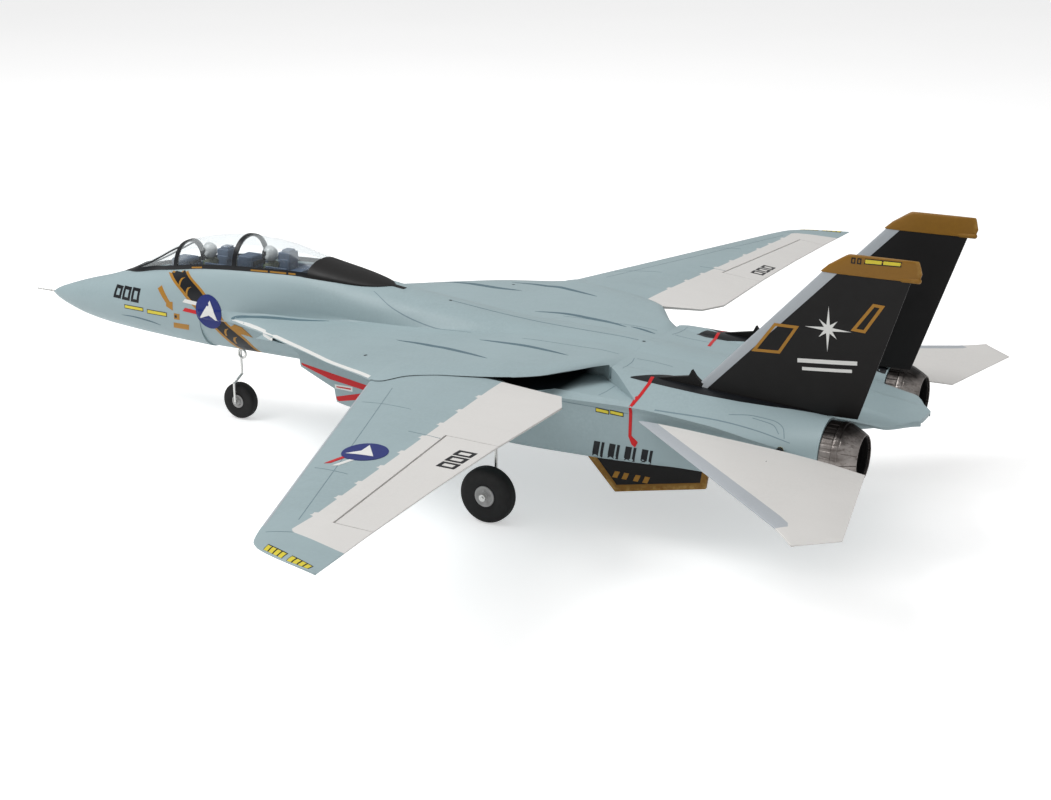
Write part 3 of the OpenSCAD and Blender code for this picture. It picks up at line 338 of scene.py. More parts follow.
def glass():
    m = Mat("clear_canopy"); b = m.b
    b.inputs["Base Color"].default_value = (0.93, 0.96, 0.97, 1)
    m.l(m.math("ADD", m.math("MULTIPLY", m.noise(35, 3, 0.5), 0.03), 0.03), b.inputs["Roughness"])
    m.l(m.bump(m.noise(14, 2, 0.5), 0.04, 0.0008), b.inputs["Normal"])
    fr = m.n("ShaderNodeFresnel", IOR=1.35); k = m.math("ADD", m.math("MULTIPLY", fr.outputs[0], 0.75), 0.055)
    tr = m.n("ShaderNodeBsdfTransparent"); tr.inputs["Color"].default_value = (0.97, 0.985, 0.99, 1)
    mx = m.n("ShaderNodeMixShader"); m.l(k, mx.inputs[0]); m.l(tr.outputs[0], mx.inputs[1]); m.l(b.outputs[0], mx.inputs[2])
    m.l(mx.outputs[0], m.t.nodes["Material Output"].inputs["Surface"]); b.inputs["Alpha"].default_value = 0.3
    return m.m
M_GLASS = glass()
# ------------------------------------------------------------------ the airframe's lines, in mm
A_T = [(-680, 1.5), (-668, 8), (-640, 17), (-604, 27.5), (-560, 36.5), (-520, 42.5), (-470, 48), (-400, 53), (-330, 56), (-200, 57), (-100, 57), (60, 54), (220, 46), (400, 36), (714, 20)]
T_T = [(-680, 155), (-668, 162), (-640, 172.5), (-604, 184), (-560, 196), (-528, 206), (-500, 214), (-450, 226), (-412, 236), (-345, 249), (-266, 257), (-180, 260), (-120, 252), (-73, 244), (-27, 238), (60, 229), (140, 221), (220, 216), (300, 213), (400, 206), (500, 196), (600, 184), (714, 168)]
B_T = [(-680, 152), (-668, 146), (-640, 136), (-604, 127.5), (-560, 121.5), (-520, 118.5), (-470, 116), (-400, 114), (-330, 113), (-200, 113), (-60, 120), (60, 140), (160, 150), (560, 152), (714, 164)]
N_T = [(-680, 2), (-560, 2.05), (-470, 2.2), (-412, 2.4), (-345, 2.6), (-150, 2.6), (60, 2.3), (714, 2.3)]
AB_T = [(-350, 55.5), (-200, 57), (0, 60), (160, 74), (634, 74), (714, 20)]
NB_T = [(-350, 2.2), (-60, 2.4), (160, 6), (714, 6)]
ZJ_T = [(-350, 174), (-292, 175), (-264, 181), (-232, 187), (-167, 192), (-83, 198), (32, 203), (120, 208), (220, 212), (300, 212), (345, 208), (400, 204), (500, 195), (600, 183), (714, 167)]
ZE_T = [(-350, 172), (-292, 172), (-264, 178), (-236, 183), (-199, 188), (-155, 192), (-100, 195), (-50, 197.5), (0, 199), (89, 200), (120, 204), (330, 206), (345, 205), (400, 200), (500, 193), (600, 181), (714, 166)]
LOW_T = [(-350, 190), (0, 190), (80, 176), (260, 176), (330, 184), (345, 188), (714, 188)]
W_T = [(-350, 56.6), (-292, 57.6), (-284, 64), (-264, 81), (-236, 102), (-199, 125), (-155, 151), (-100, 182), (-50, 209), (0, 236), (89, 272), (98, 279), (106, 280), (130, 266), (186, 243), (244, 216), (282, 188), (306, 150), (330, 112), (345, 100), (600, 95), (634, 80), (666, 73), (682, 70), (708, 30), (714, 22)]
A, T, B, N, AB, NB, ZJ, ZE = [pchip(t) for t in (A_T, T_T, B_T, N_T, AB_T, NB_T, ZJ_T, ZE_T)]
LOW = lin(LOW_T); W = pchip(W_T)
K = lin([(-292, 3), (-200, 7), (30, 7), (89, 9), (330, 9), (345, 2)]); Q = lin([(89, 6), (98, 8)]); SK = lin([(30, 14), (89, 8)])
def smax(p, q, k): h = np.maximum(k - np.abs(p - q), 0) / k; return np.maximum(p, q) + h * h * k / 4
def zmid(y): return (T(y) + B(y)) / 2
def zcore(y): return mix(zmid(y), 186, cl((y + 350) / 200))
def hump(x, y):
    a, n, t, c = A(y), N(y), T(y), zcore(y); u = np.abs(x) / a
    return np.where(u < 1, c + (t - c) * (1 - np.minimum(u, 1) ** n) ** (1 / n), c - 3 * (np.abs(x) - a))
def deck(x, y):
    w, j, z = W(y), ZJ(y), ZE(y); x0 = min(60, w * 0.7); u = cl((np.abs(x) - x0) / (w - x0)); k = K(y)
    return mix(j, z + k, u) - k * u ** Q(y)
def top(x, y):
    d = deck(x, y); m = smax(hump(x, y), d, SK(y)); t = d + 2 * (1 - cl((np.abs(x) - 30) / 10))
    return mix(m, t, cl((y - 560) / 40))
def belly(x, y):
    a, n, b, c = AB(y), NB(y), B(y), zcore(y); u = np.minimum(1, np.abs(x) / a)
    return c - (c - b) * (1 - u ** n) ** (1 / n)
NH, NE, NBL = 26, 24, 22
def body_ring(y):
    w = float(W(y)); a = min(float(A(y)), w - 1); ab = min(float(AB(y)), w - 0.8); ze = float(ZE(y)); low = min(float(LOW(y)), ze - 4)
    tx = np.concatenate([a * np.sin(np.radians(np.linspace(0, 86, NH))), mix(a, w, 0.5 - 0.5 * np.cos(np.pi * np.linspace(0.07, 0.955, NE)))])
    tz = np.maximum(top(tx, y), np.where(tx < ab, 0, low + 1))
    edge = min(ze, tz[-1])
    bx = np.concatenate([ab * np.sin(np.radians(np.linspace(0, 90, NBL))), mix(ab, w, np.array([0.004, 0.3, 0.6, 0.74, 0.84, 0.92, 0.972]))])
    bz = np.concatenate([np.minimum(belly(bx[:NBL], y), tz[0] - 3), mix(low, ze - 2, np.array([0, 0, 0, 0.07, 0.26, 0.6, 0.9]))])
    pts = [(tx[i], tz[i]) for i in range(len(tx))] + [(w, edge)] + [(bx[i], bz[i]) for i in range(len(bx) - 1, 0, -1)]
    pts += [(bx[0], bz[0])] + [(-bx[i], bz[i]) for i in range(1, len(bx))] + [(-w, edge)] + [(-tx[i], tz[i]) for i in range(len(tx) - 1, 0, -1)]
    return [(float(x), float(y), float(z)) for x, z in pts]
def stations(lo, hi, step, extra=()):
    s = set(round(float(v), 3) for v in np.linspace(lo, hi, int((hi - lo) / step) + 1)) | set(float(v) for v in extra if lo < v < hi)
    s = sorted(s); out = [s[0]]
    for v in s[1:]:
        if v - out[-1] > step * 0.3: out.append(v)
    out[-1] = hi
    return out
BODY_Y = [-350, -292, -284, -264, -236, -199, -155, -100, -50, 0, 89, 98, 106, 130, 186, 244, 282, 306, 330, 345, 560, 600, 634, 666, 682, 708, 714]
def body_solid(name): return loft(name, [body_ring(y) for y in stations(-350, 714, 7, BODY_Y)])

def nose_ring(y, g=0, n=96):
    a, k, t, b = A(y) - g, N(y), T(y) - g, B(y) + g; c = (t + b) / 2; out = []
    for i in range(n):
        p = -2 * math.pi * i / n; s, q = math.sin(p), math.cos(p)
        out.append((float(a * math.copysign(abs(q) ** (2 / k), q)), float(y), float(c + ((t - c) if s > 0 else (c - b)) * math.copysign(abs(s) ** (2 / k), s))))
    return out

XO_T = [(-170, 135), (-115, 156), (-20, 160), (100, 166), (200, 172), (280, 175), (600, 174), (634, 168.5)]
ZC_T = [(-170, 187), (-60, 185.5), (100, 186), (280, 182.5), (308, 181), (399, 183), (491, 177), (567, 168), (634, 157)]
ZT_T = [(-170, 190), (0, 195), (200, 200), (310, 204), (345, 207), (400, 205), (500, 200), (600, 196.5), (634, 192)]
ZB_T = [(-170, 111), (-20, 108), (60, 105), (200, 103.5), (355, 105.6), (479, 110.5), (600, 110), (634, 108)]
XS_T = [(-170, 133), (-115, 154), (-20, 158), (200, 169), (280, 172), (430, 172), (450, 170.5), (600, 169), (634, 167)]
XO, ZC, ZT, ZB, XS = [pchip(t) for t in (XO_T, ZC_T, ZT_T, ZB_T, XS_T)]
DX, DZ = 126.0, 149.0
def nac_ring(y, per=7):
    xo, zc, zt, zb, xs = [float(f(y)) for f in (XO, ZC, ZT, ZB, XS)]; m = float(cl((y - 500) / 134)) ** 1.5; xi = 75
    bx = np.array([(xi, zt - 10), (xi + 14, zt), (112, zt), (128, mix(zt, zc, 0.2)), (148, mix(zt, zc, 0.52)), (163, mix(zt, zc, 0.8)), (xo, zc), (xs, zc - 6), (xs, mix(zc, zb, 0.4)),
                   (xs - 1, zb + 18), (xs - 3, zb + 3.5), (xs - 10, zb), (xi + 30, zb), (xi + 14, zb), (xi + 3, zb + 6), (xi, zb + 20)])
    ang = np.array([152, 122, 104, 84, 64, 44, 12, 2, -14, -30, -48, -68, -98, -118, -140, -175], float)
    soft = np.ones(16); soft[6] = 0.25; soft[7] = 0.3
    out = []
    for i in range(16):
        p0, p1, p2 = bx[i - 1], bx[i], bx[(i + 1) % 16]
        a0, a1, a2 = ang[i - 1] + (360 if ang[i - 1] < ang[i] - 90 else 0), ang[i], ang[(i + 1) % 16] - (360 if ang[(i + 1) % 16] > ang[i] + 90 else 0)
        for q in range(per):
            s = (q + 0.5) / per          # 0..1 from the middle of the edge before to the middle of the edge after
            m0, m2 = (p0 + p1) / 2, (p1 + p2) / 2
            bs = (1 - s) ** 2 * m0 + 2 * s * (1 - s) * p1 + s * s * m2
            pl = mix(m0, p1, s * 2) if s < 0.5 else mix(p1, m2, s * 2 - 1)
            b = mix(pl, bs, soft[i])
            a = mix((a0 + a1) / 2, a1, s * 2) if s < 0.5 else mix(a1, (a1 + a2) / 2, s * 2 - 1)
            c = np.array([DX + 42.5 * math.cos(math.radians(a)), DZ + 42.5 * math.sin(math.radians(a))])
            r = mix(b, c, m); out.append((float(r[0]), float(y), float(r[1])))
    return out
def nacelle_solid(name, s=1):
    return loft(name, [[(s * p[0], p[1], p[2]) for p in nac_ring(y)] for y in stations(-170, 634, 7, [-115, -60, 200, 280, 345, 500, 600])])

def duct_cutters(s):
    def ring(y, k):   # k 0: the square intake, 1: round
        out = []
        for i in range(64):
            t = 2 * math.pi * (i + 0.5) / 64; c, q = math.cos(t), math.sin(t); n = 10 - 8 * min(1, k * 1.0) if k < 1 else 2
            x = math.copysign(abs(c) ** (2 / n), c); z = math.copysign(abs(q) ** (2 / n), q)
            hx, hz, ox, oz = mix(36, 31, k), mix(35, 31, k), mix(-7, 0, k), mix(0.5, 0, k)
            out.append((s * (DX + ox + hx * x), y, DZ + oz + hz * z))
        return out
    ys = [(-174, 0), (-30, 0)] + [(mix(-30, 40, i / 8), (i / 8) ** 1.2) for i in range(1, 8)] + [(45, 1), (640, 1)]
    a = loft("duct", [ring(y, k) for y, k in ys])
    b = cyl("d2", (s * DX, 418, DZ), (s * DX, 492, DZ), 35, 64)
    c = cyl("d3", (s * DX, 611, DZ), (s * DX, 641, DZ), 37, 96)
    return [a, b, c]

PX, PY, WZ = 205.0, 150.0, 198.0
def swept_plan(i, g):
    return [(420, 142.6 + i - g), (228 - g * 0.3, 73 + i - g), (216, 77.5 + i - g), (205 - g * 0.4, 83 + i - g), (193 - g * 0.6, 89 + min(i, 14) - g), (180 - g * 0.7, 100 + min(i, 8) - g * 0.7),
            (170 - g, 112 - g * 0.6), (163 - g, 128 - g * 0.3), (152 - g, 151), (145 - g, 170), (139 - g, 189), (131 - g, 217), (81 - g, 280), (90.7 - g, 320 + g), (290 - g, 539 + 1.5 * g), (420, 684 + g)]
SLOTP = pchip([(0, 0.0), (0.006, 0.12), (0.03, 0.27), (0.085, 0.5), (0.2, 0.84), (0.36, 1)])
def wing_slots(s):
    out = []
    for i, g, lo, hi in ((0, 1.4, -4.2, 4.2), (8, 1.8, -7.6, 7.6), (22, 2.2, -11.2, 9.9)):
        p = swept_plan(i, g); p = [(205.8, p[3][1] - 0.4)] + p[3:14] + [(205.8, 446.5)]
        out.append(prism("ws", [(s * x, y) for x, y in p], "z", WZ + lo, WZ + hi))
    rings = []
    fx = lin([(205, 83), (216, 77.5), (228, 73), (272, 89), (420, 142.6)]); cx = lin([(205, 168), (228, 257), (420, 257)])
    for x in (205, 208, 212, 216, 220, 224, 228, 234, 240, 246, 252, 258, 264, 270, 276, 282, 290, 420):
        f, c, e = float(fx(x)), float(cx(x)), 445.6 + (x - 205) * 1.122; ii = [0, 0.5, 1.2, 2.5, 4.5, 7, 10, 14, 19, 25, 32, 40, 50, 62, 80, 95]
        pr = [float(SLOTP(min(i / c, 0.36))) * 9.5 + 0.9 for i in ii]; ys = [f - 1.0 + i for i in ii] + [e]; pr += [10.4]
        rings.append([(s * x, y, WZ + q) for y, q in zip(ys, pr)] + [(s * x, y, WZ - q) for y, q in zip(ys[::-1], pr[::-1])])
    out.append(loft("wl", rings))
    return out

S_T = [(-528, 205.9), (-515, 208.7), (-491, 212), (-450, 220.5), (-412, 227), (-345, 237.5), (-266, 243.5), (-180, 246.5), (-160, 245.5), (-122, 243.5), (-73, 240.8), (-50, 240.5), (-27, 238)]
R_T = [(-528, 206.4), (-510, 213.5), (-491, 222.5), (-470, 233), (-445, 246.5), (-420, 260), (-402, 267.5), (-350, 281), (-295, 287), (-250, 286), (-220, 282), (-165, 266), (-102, 253.8), (-60, 244.8), (-27, 238)]
S, R = pchip(S_T), pchip(R_T)
def sill_w(y):
    a, n, t, c = float(A(y)), float(N(y)), float(T(y)), float(zcore(y)); u = min(0.999, (float(S(y)) - c) / (t - c))
    return a * (1 - u ** n) ** (1 / n)
def sill_poly(dz=0.0, y0=-530, y1=-20, ztop=300):
    ys = np.linspace(-528, -27, 90)
    return [(y0, ztop), (y0, 204.8 + dz)] + [(float(y), float(S(y)) + dz) for y in ys] + [(y1, 236.3 + dz), (y1, ztop)]
TUB = [(-455, 19), (-412, 26), (-345, 30), (-192, 30)]
def tub_plan(g=0):
    r = [(x + g, y + (-g if y < -400 else g)) for y, x in TUB]
    return r + [(-x, y) for x, y in r[::-1]]

# ------------------------------------------------------------------ fuselage shells
SPLIT = 190.0
def front_hollow(): return loft("fh", [nose_ring(y, 8, 48) for y in (-640, -600, -560, -520, -470, -412, -345, -266, -180, -120, -60, 0, 60)])
def rear_hollows(): return [block("r1", (-64, 40, 157), (64, 330, 199)), block("r2", (-64, 329, 158), (64, 560, 178))]
SCREWS = [(200, 36), (-200, 36), (0, 46), (0, 338)]

nose = loft("nose_skin", [nose_ring(y, 0) for y in [-679.6, -679, -677.5, -675, -672, -668, -663] + stations(-656, -350.05, 6)])
boolean(nose, [front_hollow(), prism("sill", sill_poly(), "x", -90, 90), prism("tp", tub_plan(1), "z", 199, 299), cyl("pt", (0, -690, 154), (0, -655, 154), 1.7, 32)])

upper = body_solid("upper_skin")
boolean(upper, block("ub", (-400, -360, SPLIT + 0.02), (400, 342, 400)), "INTERSECT")
boolean(upper, [front_hollow()] + rear_hollows() + [prism("sill", sill_poly(), "x", -90, 90), prism("tp", tub_plan(1), "z", 180, 300)]
        + [cyl("sh", (x, y, float(top(np.array(x), y)) - 8), (x, y, float(top(np.array(x), y)) + 22), 2.6, 32) for x, y in SCREWS] + wing_slots(1) + wing_slots(-1))
lower = body_solid("lower_skin")
nacs = []
for s in (1, -1):
    nc = nacelle_solid("nac", s); rake = prism("rk", [(-300, 60), (-19, 60), (-20, 108.5), (-43, 115), (-45, 134), (-172, 187.5), (-172, 230), (-300, 230)], "x", min(60 * s, 220 * s), max(60 * s, 220 * s))
    nacs.append(boolean(nc, rake))
boolean(lower, nacs, "UNION")
fh = front_hollow(); boolean(fh, block("fb", (-100, -700, 0), (100, 100, 300)), "INTERSECT")
boolean(lower, [block("lb", (-400, -360, SPLIT - 0.02), (400, 342.05, 400)), fh] + rear_hollows())
for s in (1, -1):
    boolean(lower, wing_slots(s) + duct_cutters(s))
boolean(lower, [cyl("nh", (0, -320, 90), (0, -320, 130), 3.4, 32), cyl("s1", (160, 590, 158.5), (190, 590, 158.5), 2.7, 32), cyl("s2", (-190, 590, 158.5), (-160, 590, 158.5), 2.7, 32),
                cyl("sh", (0, 338, float(top(np.array(0.0), 338)) - 8), (0, 338, 260), 2.6, 32)])
# ------------------------------------------------------------------ wings
WF_T = [(160, 150), (163, 128), (170, 112), (180, 100), (193, 89), (205, 83), (216, 77.5), (228, 73), (272, 89), (527, 181), (717, 250), (735, 257.5), (748, 264.5), (758, 276), (765, 293), (774, 326), (782, 360)]
WR_T = [(160, 154), (163, 172), (170, 190), (180, 208), (190, 225), (205, 250), (219, 329), (255, 347.5), (420, 345.5), (551, 348), (689, 354.5), (782, 361)]
WT_T = [(160, 15), (175, 19), (272, 19), (527, 13), (717, 9), (748, 7), (782, 2.5)]
WF, WR, WT = lin(WF_T), lin(WR_T), lin(WT_T)
WFs = pchip([(700, 243.8)] + WF_T[10:])
def wfront(x): return float(WFs(x)) if x > 717 else float(WF(x))
PROFS = pchip([(0, 0.0), (0.006, 0.12), (0.03, 0.27), (0.085, 0.5), (0.2, 0.84), (0.36, 1), (0.55, 0.92), (0.75, 0.6), (0.88, 0.34), (1, 0.13)])
CH = np.concatenate([[0, 0.003, 0.008, 0.016, 0.03, 0.05, 0.075, 0.105], np.linspace(0.14, 1, 22)])
def wing_ring(x):
    f, r, h = wfront(x), float(WR(x)), float(WT(x)) / 2; pr = PROFS(CH) * h
    up = [(x, float(mix(f, r, c)), WZ + float(p)) for c, p in zip(CH, pr)]
    dn = [(x, float(mix(f, r, c)), WZ - float(p)) for c, p in zip(CH, pr)]
    return up + dn[:0:-1]
WX = [160, 161, 162, 163, 166, 170, 175, 180, 186, 193, 199, 205, 210, 216, 219, 222, 228, 240, 255] + stations(265, 717, 12, [272, 340, 430, 527, 551, 620, 689]) + [722, 728, 735, 741, 748, 753, 758, 761.5, 765, 769.5, 774, 777, 779.5, 781, 782]
def wing_solid(name): return loft(name, [wing_ring(x) for x in WX])
HA = math.atan2(29, 267)
def hinge_pts(pts):
    c, s = math.cos(HA), math.sin(HA); return [(412 + x * c - y * s, 285 + x * s + y * c) for x, y in pts]
def hinge_box(name, a, b): return prism(name, hinge_pts([(a[0], a[1]), (b[0], a[1]), (b[0], b[1]), (a[0], b[1])]), "z", WZ + a[2], WZ + b[2])
def hinge_rod(name, x0, x1, r):
    (p,), (q,) = hinge_pts([(x0, 0)]), hinge_pts([(x1, 0)]); return cyl(name, (*p, WZ), (*q, WZ), r, 24)
wing = wing_solid("wing_l")
boolean(wing, [hinge_box("hb", (0, -4.0, -20), (268.6, 90, 20)), hinge_rod("hr", -10, 280, 1.3), hinge_box("sp", (118.7, -78.3, -20), (143.3, -54.7, 3.8)),
               block("rp", (180.7, 124.7, 194), (255.3, 180.3, 202)), cyl("pv", (PX, PY, 150), (PX, PY, 240), 5, 40)])
ail = wing_solid("aileron_l")
boolean(ail, hinge_box("ab", (0.8, -1.6, -20), (267.8, 90, 20)), "INTERSECT")
boolean(ail, [hinge_rod("ar", -10, 280, 1.2), hinge_box("as", (129.6, -6, -20), (132.4, 8.4, 1.4))])
WINGS = {"left": (wing, ail)}
WINGS["right"] = (mirrored(wing, "wing_r"), mirrored(ail, "aileron_r"))

# ------------------------------------------------------------------ fins
CANT = math.tan(math.radians(4.7))
def fin_x(z): return 109 + (z - 196) * CANT
FIN_T = [(190, 449, 662, 4.6), (196, 454, 664, 4.6), (366, 614, 718, 2.6), (366.8, 612, 727, 3.4), (376, 622, 730, 3.4), (386, 637.5, 727.5, 3.1), (389.4, 643, 726.3, 2.4), (390.6, 646, 725.6, 1.2)]
FF, FR, FH = [lin([(r[0], r[i]) for r in FIN_T]) for i in (1, 2, 3)]
FPR = pchip([(0, 0), (0.01, 0.28), (0.04, 0.55), (0.12, 0.85), (0.28, 1), (0.68, 0.98), (0.9, 0.6), (1, 0.25)])
FCH = np.concatenate([[0, 0.004, 0.012, 0.03, 0.06, 0.1], np.linspace(0.15, 1, 16)])
def fin_ring(z):
    f, r, h, x = float(FF(z)), float(FR(z)), float(FH(z)), fin_x(z); p = FPR(FCH) * h
    a = [(x + float(q), float(mix(f, r, c)), z) for c, q in zip(FCH, p)]; b = [(x - float(q), float(mix(f, r, c)), z) for c, q in zip(FCH, p)]
    return a + b[:0:-1]
fin = loft("fin_l", [fin_ring(z) for z in [190, 196] + list(np.linspace(206, 366, 17))])
cap = loft("fin_cap_l", [fin_ring(z) for z in [366.15, 366.8, 368, 371, 374, 376, 379, 382.5, 386, 388, 389.4, 390.1, 390.6]])
def capsule(name, p, q, r, n=24):
    p = np.array(p, float); q = np.array(q, float); d = (q - p) / np.linalg.norm(q - p)
    a = np.cross(d, [0, 0, 1] if abs(d[2]) < 0.9 else [1, 0, 0]); a /= np.linalg.norm(a); b = np.cross(d, a); rings = []
    for c, t in [(p, -x) for x in (85, 65, 45, 25, 0)] + [(q, x) for x in (0, 25, 45, 65, 85)]:
        rr, h = r * math.cos(math.radians(t)), r * math.sin(math.radians(t))
        rings.append([tuple(c + d * h + rr * (math.cos(2 * math.pi * i / n) * a + math.sin(2 * math.pi * i / n) * b)) for i in range(n)])
    return loft(name, rings)
pod = capsule("pod", (fin_x(368), 708, 368), (fin_x(368), 726.4, 368), 3.2)
boolean(cap, pod, "UNION")
strake = prism("strake_l", [(386, 198.6), (392, 201.6), (448, 212), (452, 220.5), (458, 212.5), (466, 206), (480, 204), (480, 192), (374, 192)], "x", 106.2, 111.8)

# ventral fins, black with an ochre rim
VP = [(288, 110), (288, 108), (350, 42), (472, 68), (478, 108), (478, 114)]
ventral = prism("ventral_l", VP, "x", 103, 107)
inner = [(301, 108.4), (351.5, 50.5), (466, 74), (471, 108), (471, 120), (301, 120)]
rim = prism("ventral_rim_l", [(286.6, 108.2), (349.4, 40.8), (473.2, 66.9), (479.2, 108)], "x", 102.6, 107.4)
boolean(rim, [prism("vi", inner, "x", 100, 110), prism("vt", [(280, 108), (490, 108), (490, 130), (280, 130)], "x", 95, 115)])
boolean(ventral, prism("vj", [(200, 130), (200, 108.2), (286.6, 108.2), (349.4, 40.8), (473.2, 66.9), (479.2, 108), (500, 108), (500, 130)], "x", 90, 120), "INTERSECT")

# ------------------------------------------------------------------ all-moving tails
SF_T = [(178, 412), (363, 645), (380, 664), (393, 677), (405, 687)]; SR_T = [(178, 655), (187, 698), (366, 731), (405, 690)]; ST_T = [(178, 7.4), (363, 4.4), (405, 2.4)]
SF, SR, ST = lin(SF_T[:2] + [(371, 655), (380, 664.5), (393, 677), (401, 684), (405, 688)]), lin(SR_T), lin(ST_T)
def stab_plane(x, y): return 168 - 0.0535 * (y - 412) - 0.024 * (x - 178)
SQ = pchip([(0, 0.1), (0.012, 0.4), (0.06, 0.72), (0.3, 1), (0.72, 0.9), (0.97, 0.3), (1, 0.2)])
SCH = np.concatenate([[0, 0.008, 0.02, 0.05, 0.09], np.linspace(0.15, 1, 15)])
def stab_ring(x):
    f, r, h = float(SF(x)), float(SR(x)), float(ST(x)) / 2; p = SQ(SCH) * h; ys = [float(mix(f, r, c)) for c in SCH]
    return [(x, y, stab_plane(x, y) + float(q)) for y, q in zip(ys, p)] + [(x, y, stab_plane(x, y) - float(q)) for y, q in zip(ys, p)][:0:-1]
stab = loft("stab_l", [stab_ring(x) for x in [178, 180, 184, 187] + stations(195, 355, 12) + [360, 363, 366, 371, 376, 380, 386, 393, 398, 402, 405]])
boolean(stab, cyl("sh", (170, 590, 158.5), (217, 590, 158.5), 2.4, 32))

# ------------------------------------------------------------------ nozzles
def lathe_y(name, prof, cx, cz, n, radial=None):
    rings = []
    for y, r in prof:
        rings.append([(cx + (r + (radial(i, y) if radial else 0)) * math.cos(2 * math.pi * i / n), y, cz + (r + (radial(i, y) if radial else 0)) * math.sin(2 * math.pi * i / n)) for i in range(n)])
    n_ = n; m = len(rings); V = [p for r in rings for p in r]; F = []
    for i in range(m):
        for j in range(n_):
            k = (j + 1) % n_; a = (i + 1) % m
            F.append((i * n_ + j, i * n_ + k, a * n_ + k, a * n_ + j))
    return fix_normals(make(name, V, F))
def nozzle(name, s):
    def radial(i, y):
        k = i % 8
        if 635.2 < y < 648.5 or 651 < y < 654: return -0.55 if k == 0 else 0.0
        if y > 657.2: k2 = i % 16; return (-0.75 if k2 == 0 else 0.35 * (k2 / 15.0)) * (1 if y < 677.4 else 0.6)
        return 0.0
    prof = [(612, 34.8), (612, 36.7), (634.2, 36.7), (634.25, 39.4), (634.8, 40.0), (636, 40.0), (642, 39.9), (647.6, 39.7), (648.4, 39.2), (649.2, 40.3), (650, 40.6), (652, 40.5), (654, 40.4), (655.4, 40.2), (656.2, 39.2),
            (657, 39.1), (658, 38.9), (664, 36.0), (671, 32.4), (676.6, 29.0), (677.4, 28.3), (677.5, 27.6), (677.0, 27.2), (670, 29.5), (660, 32.6), (652, 34.6), (640, 34.8)]
    return lathe_y(name, prof, s * DX, DZ, 256, radial)
def liner(name, s):   # dark inner cone and tail cone seen through the outlet
    a = lathe_y(name, [(640, 34.2), (640, 33.2), (655, 31.8), (668, 28.4), (674, 26.6), (674.4, 27.2), (668, 29.4), (655, 32.8)], s * DX, DZ, 96)
    b = loft("cone", [[(s * DX + r * math.cos(2 * math.pi * i / 48), y, DZ + r * math.sin(2 * math.pi * i / 48)) for i in range(48)] for y, r in ((486, 12.8), (500, 12.2), (520, 9.8), (540, 6), (552, 2.2), (555, 0.6))])
    return joined(name, [a, b])

# ------------------------------------------------------------------ canopy, frame and fairing
def hz(y, p, g=0.0, lo=0.0):
    w = max(0.6, sill_w(y) - g); s = float(S(y)) + 0.2 - lo; r = max(s + 0.5, float(R(y)) - g)
    return (w * math.cos(p), y, s + (r - s) * abs(math.sin(p)) ** 0.9)
def p_at(y, h):
    s = float(S(y)) + 0.2; d = float(R(y)) - s
    return math.asin(min(1.0, max(0.0, h / d)) ** (1 / 0.9)) if d > h else math.pi / 2
def shell(name, ys, rng, g0, g1, n=48):
    """a closed curved panel between gaps g0 (outside) and g1 (inside), over angles rng(y)"""
    V, F = [], []; m = len(ys)
    for g in (g0, g1):
        for y in ys:
            a, b = rng(y)
            for i in range(n + 1): V.append(hz(y, mix(a, b, i / n), g))
    q = n + 1; k = m * q
    for i in range(m - 1):
        for j in range(n):
            a = i * q + j
            F.append((a, a + 1, a + q + 1, a + q)); F.append((k + a, k + a + q, k + a + q + 1, k + a + 1))
    for i in range(m - 1):
        a = i * q; F.append((a, a + q, k + a + q, k + a)); a += n; F.append((a, k + a, k + a + q, a + q))
    for j in range(n):
        F.append((j, k + j, k + j + 1, j + 1)); a = (m - 1) * q + j; F.append((a, a + 1, k + a + 1, k + a))
    return fix_normals(make(name, V, F))
BAND = 6.2
def pane(name, y0, y1, g0=0.25, g1=1.45):
    ys = list(np.linspace(y0, y1, max(6, int((y1 - y0) / 5)))); return shell(name, [float(y) for y in ys], lambda y: (p_at(y, BAND + 0.3), math.pi - p_at(y, BAND + 0.3)), g0, g1)
panes = [pane("pane1", -488.6, -408.7), pane("pane2", -401.3, -295.7), pane("pane3", -288.3, -165.5)]
def rail(name, side, y0, y1, h0, h1, g0, g1, n=6):
    ys = [float(v) for v in np.linspace(y0, y1, int((y1 - y0) / 5))]
    r = (lambda y: (p_at(y, h0), p_at(y, h1))) if side > 0 else (lambda y: (math.pi - p_at(y, h1), math.pi - p_at(y, h0)))
    return shell(name, ys, r, g0, g1, n)
full = lambda y: (0.0, math.pi)
frame_bits = [shell("brow", [float(v) for v in np.linspace(-527.5, -488.8, 14)], full, -0.15, 1.9, 40)]
frame_bits += [rail("rail", s, -490, -164.8, 0.0, BAND, -0.25, 2.2) for s in (1, -1)]
for y in (-405, -292):
    frame_bits.append(shell("bow", [y - 3.6, y - 3.2, y, y + 3.2, y + 3.6], lambda q: (p_at(q, BAND - 1.0), math.pi - p_at(q, BAND - 1.0)), -0.75, 2.3, 64))
    frame_bits.append(shell("bowi", [y - 2.2, y, y + 2.2], lambda q: (p_at(q, BAND - 1.0), math.pi - p_at(q, BAND - 1.0)), 2.3, 3.4, 64))
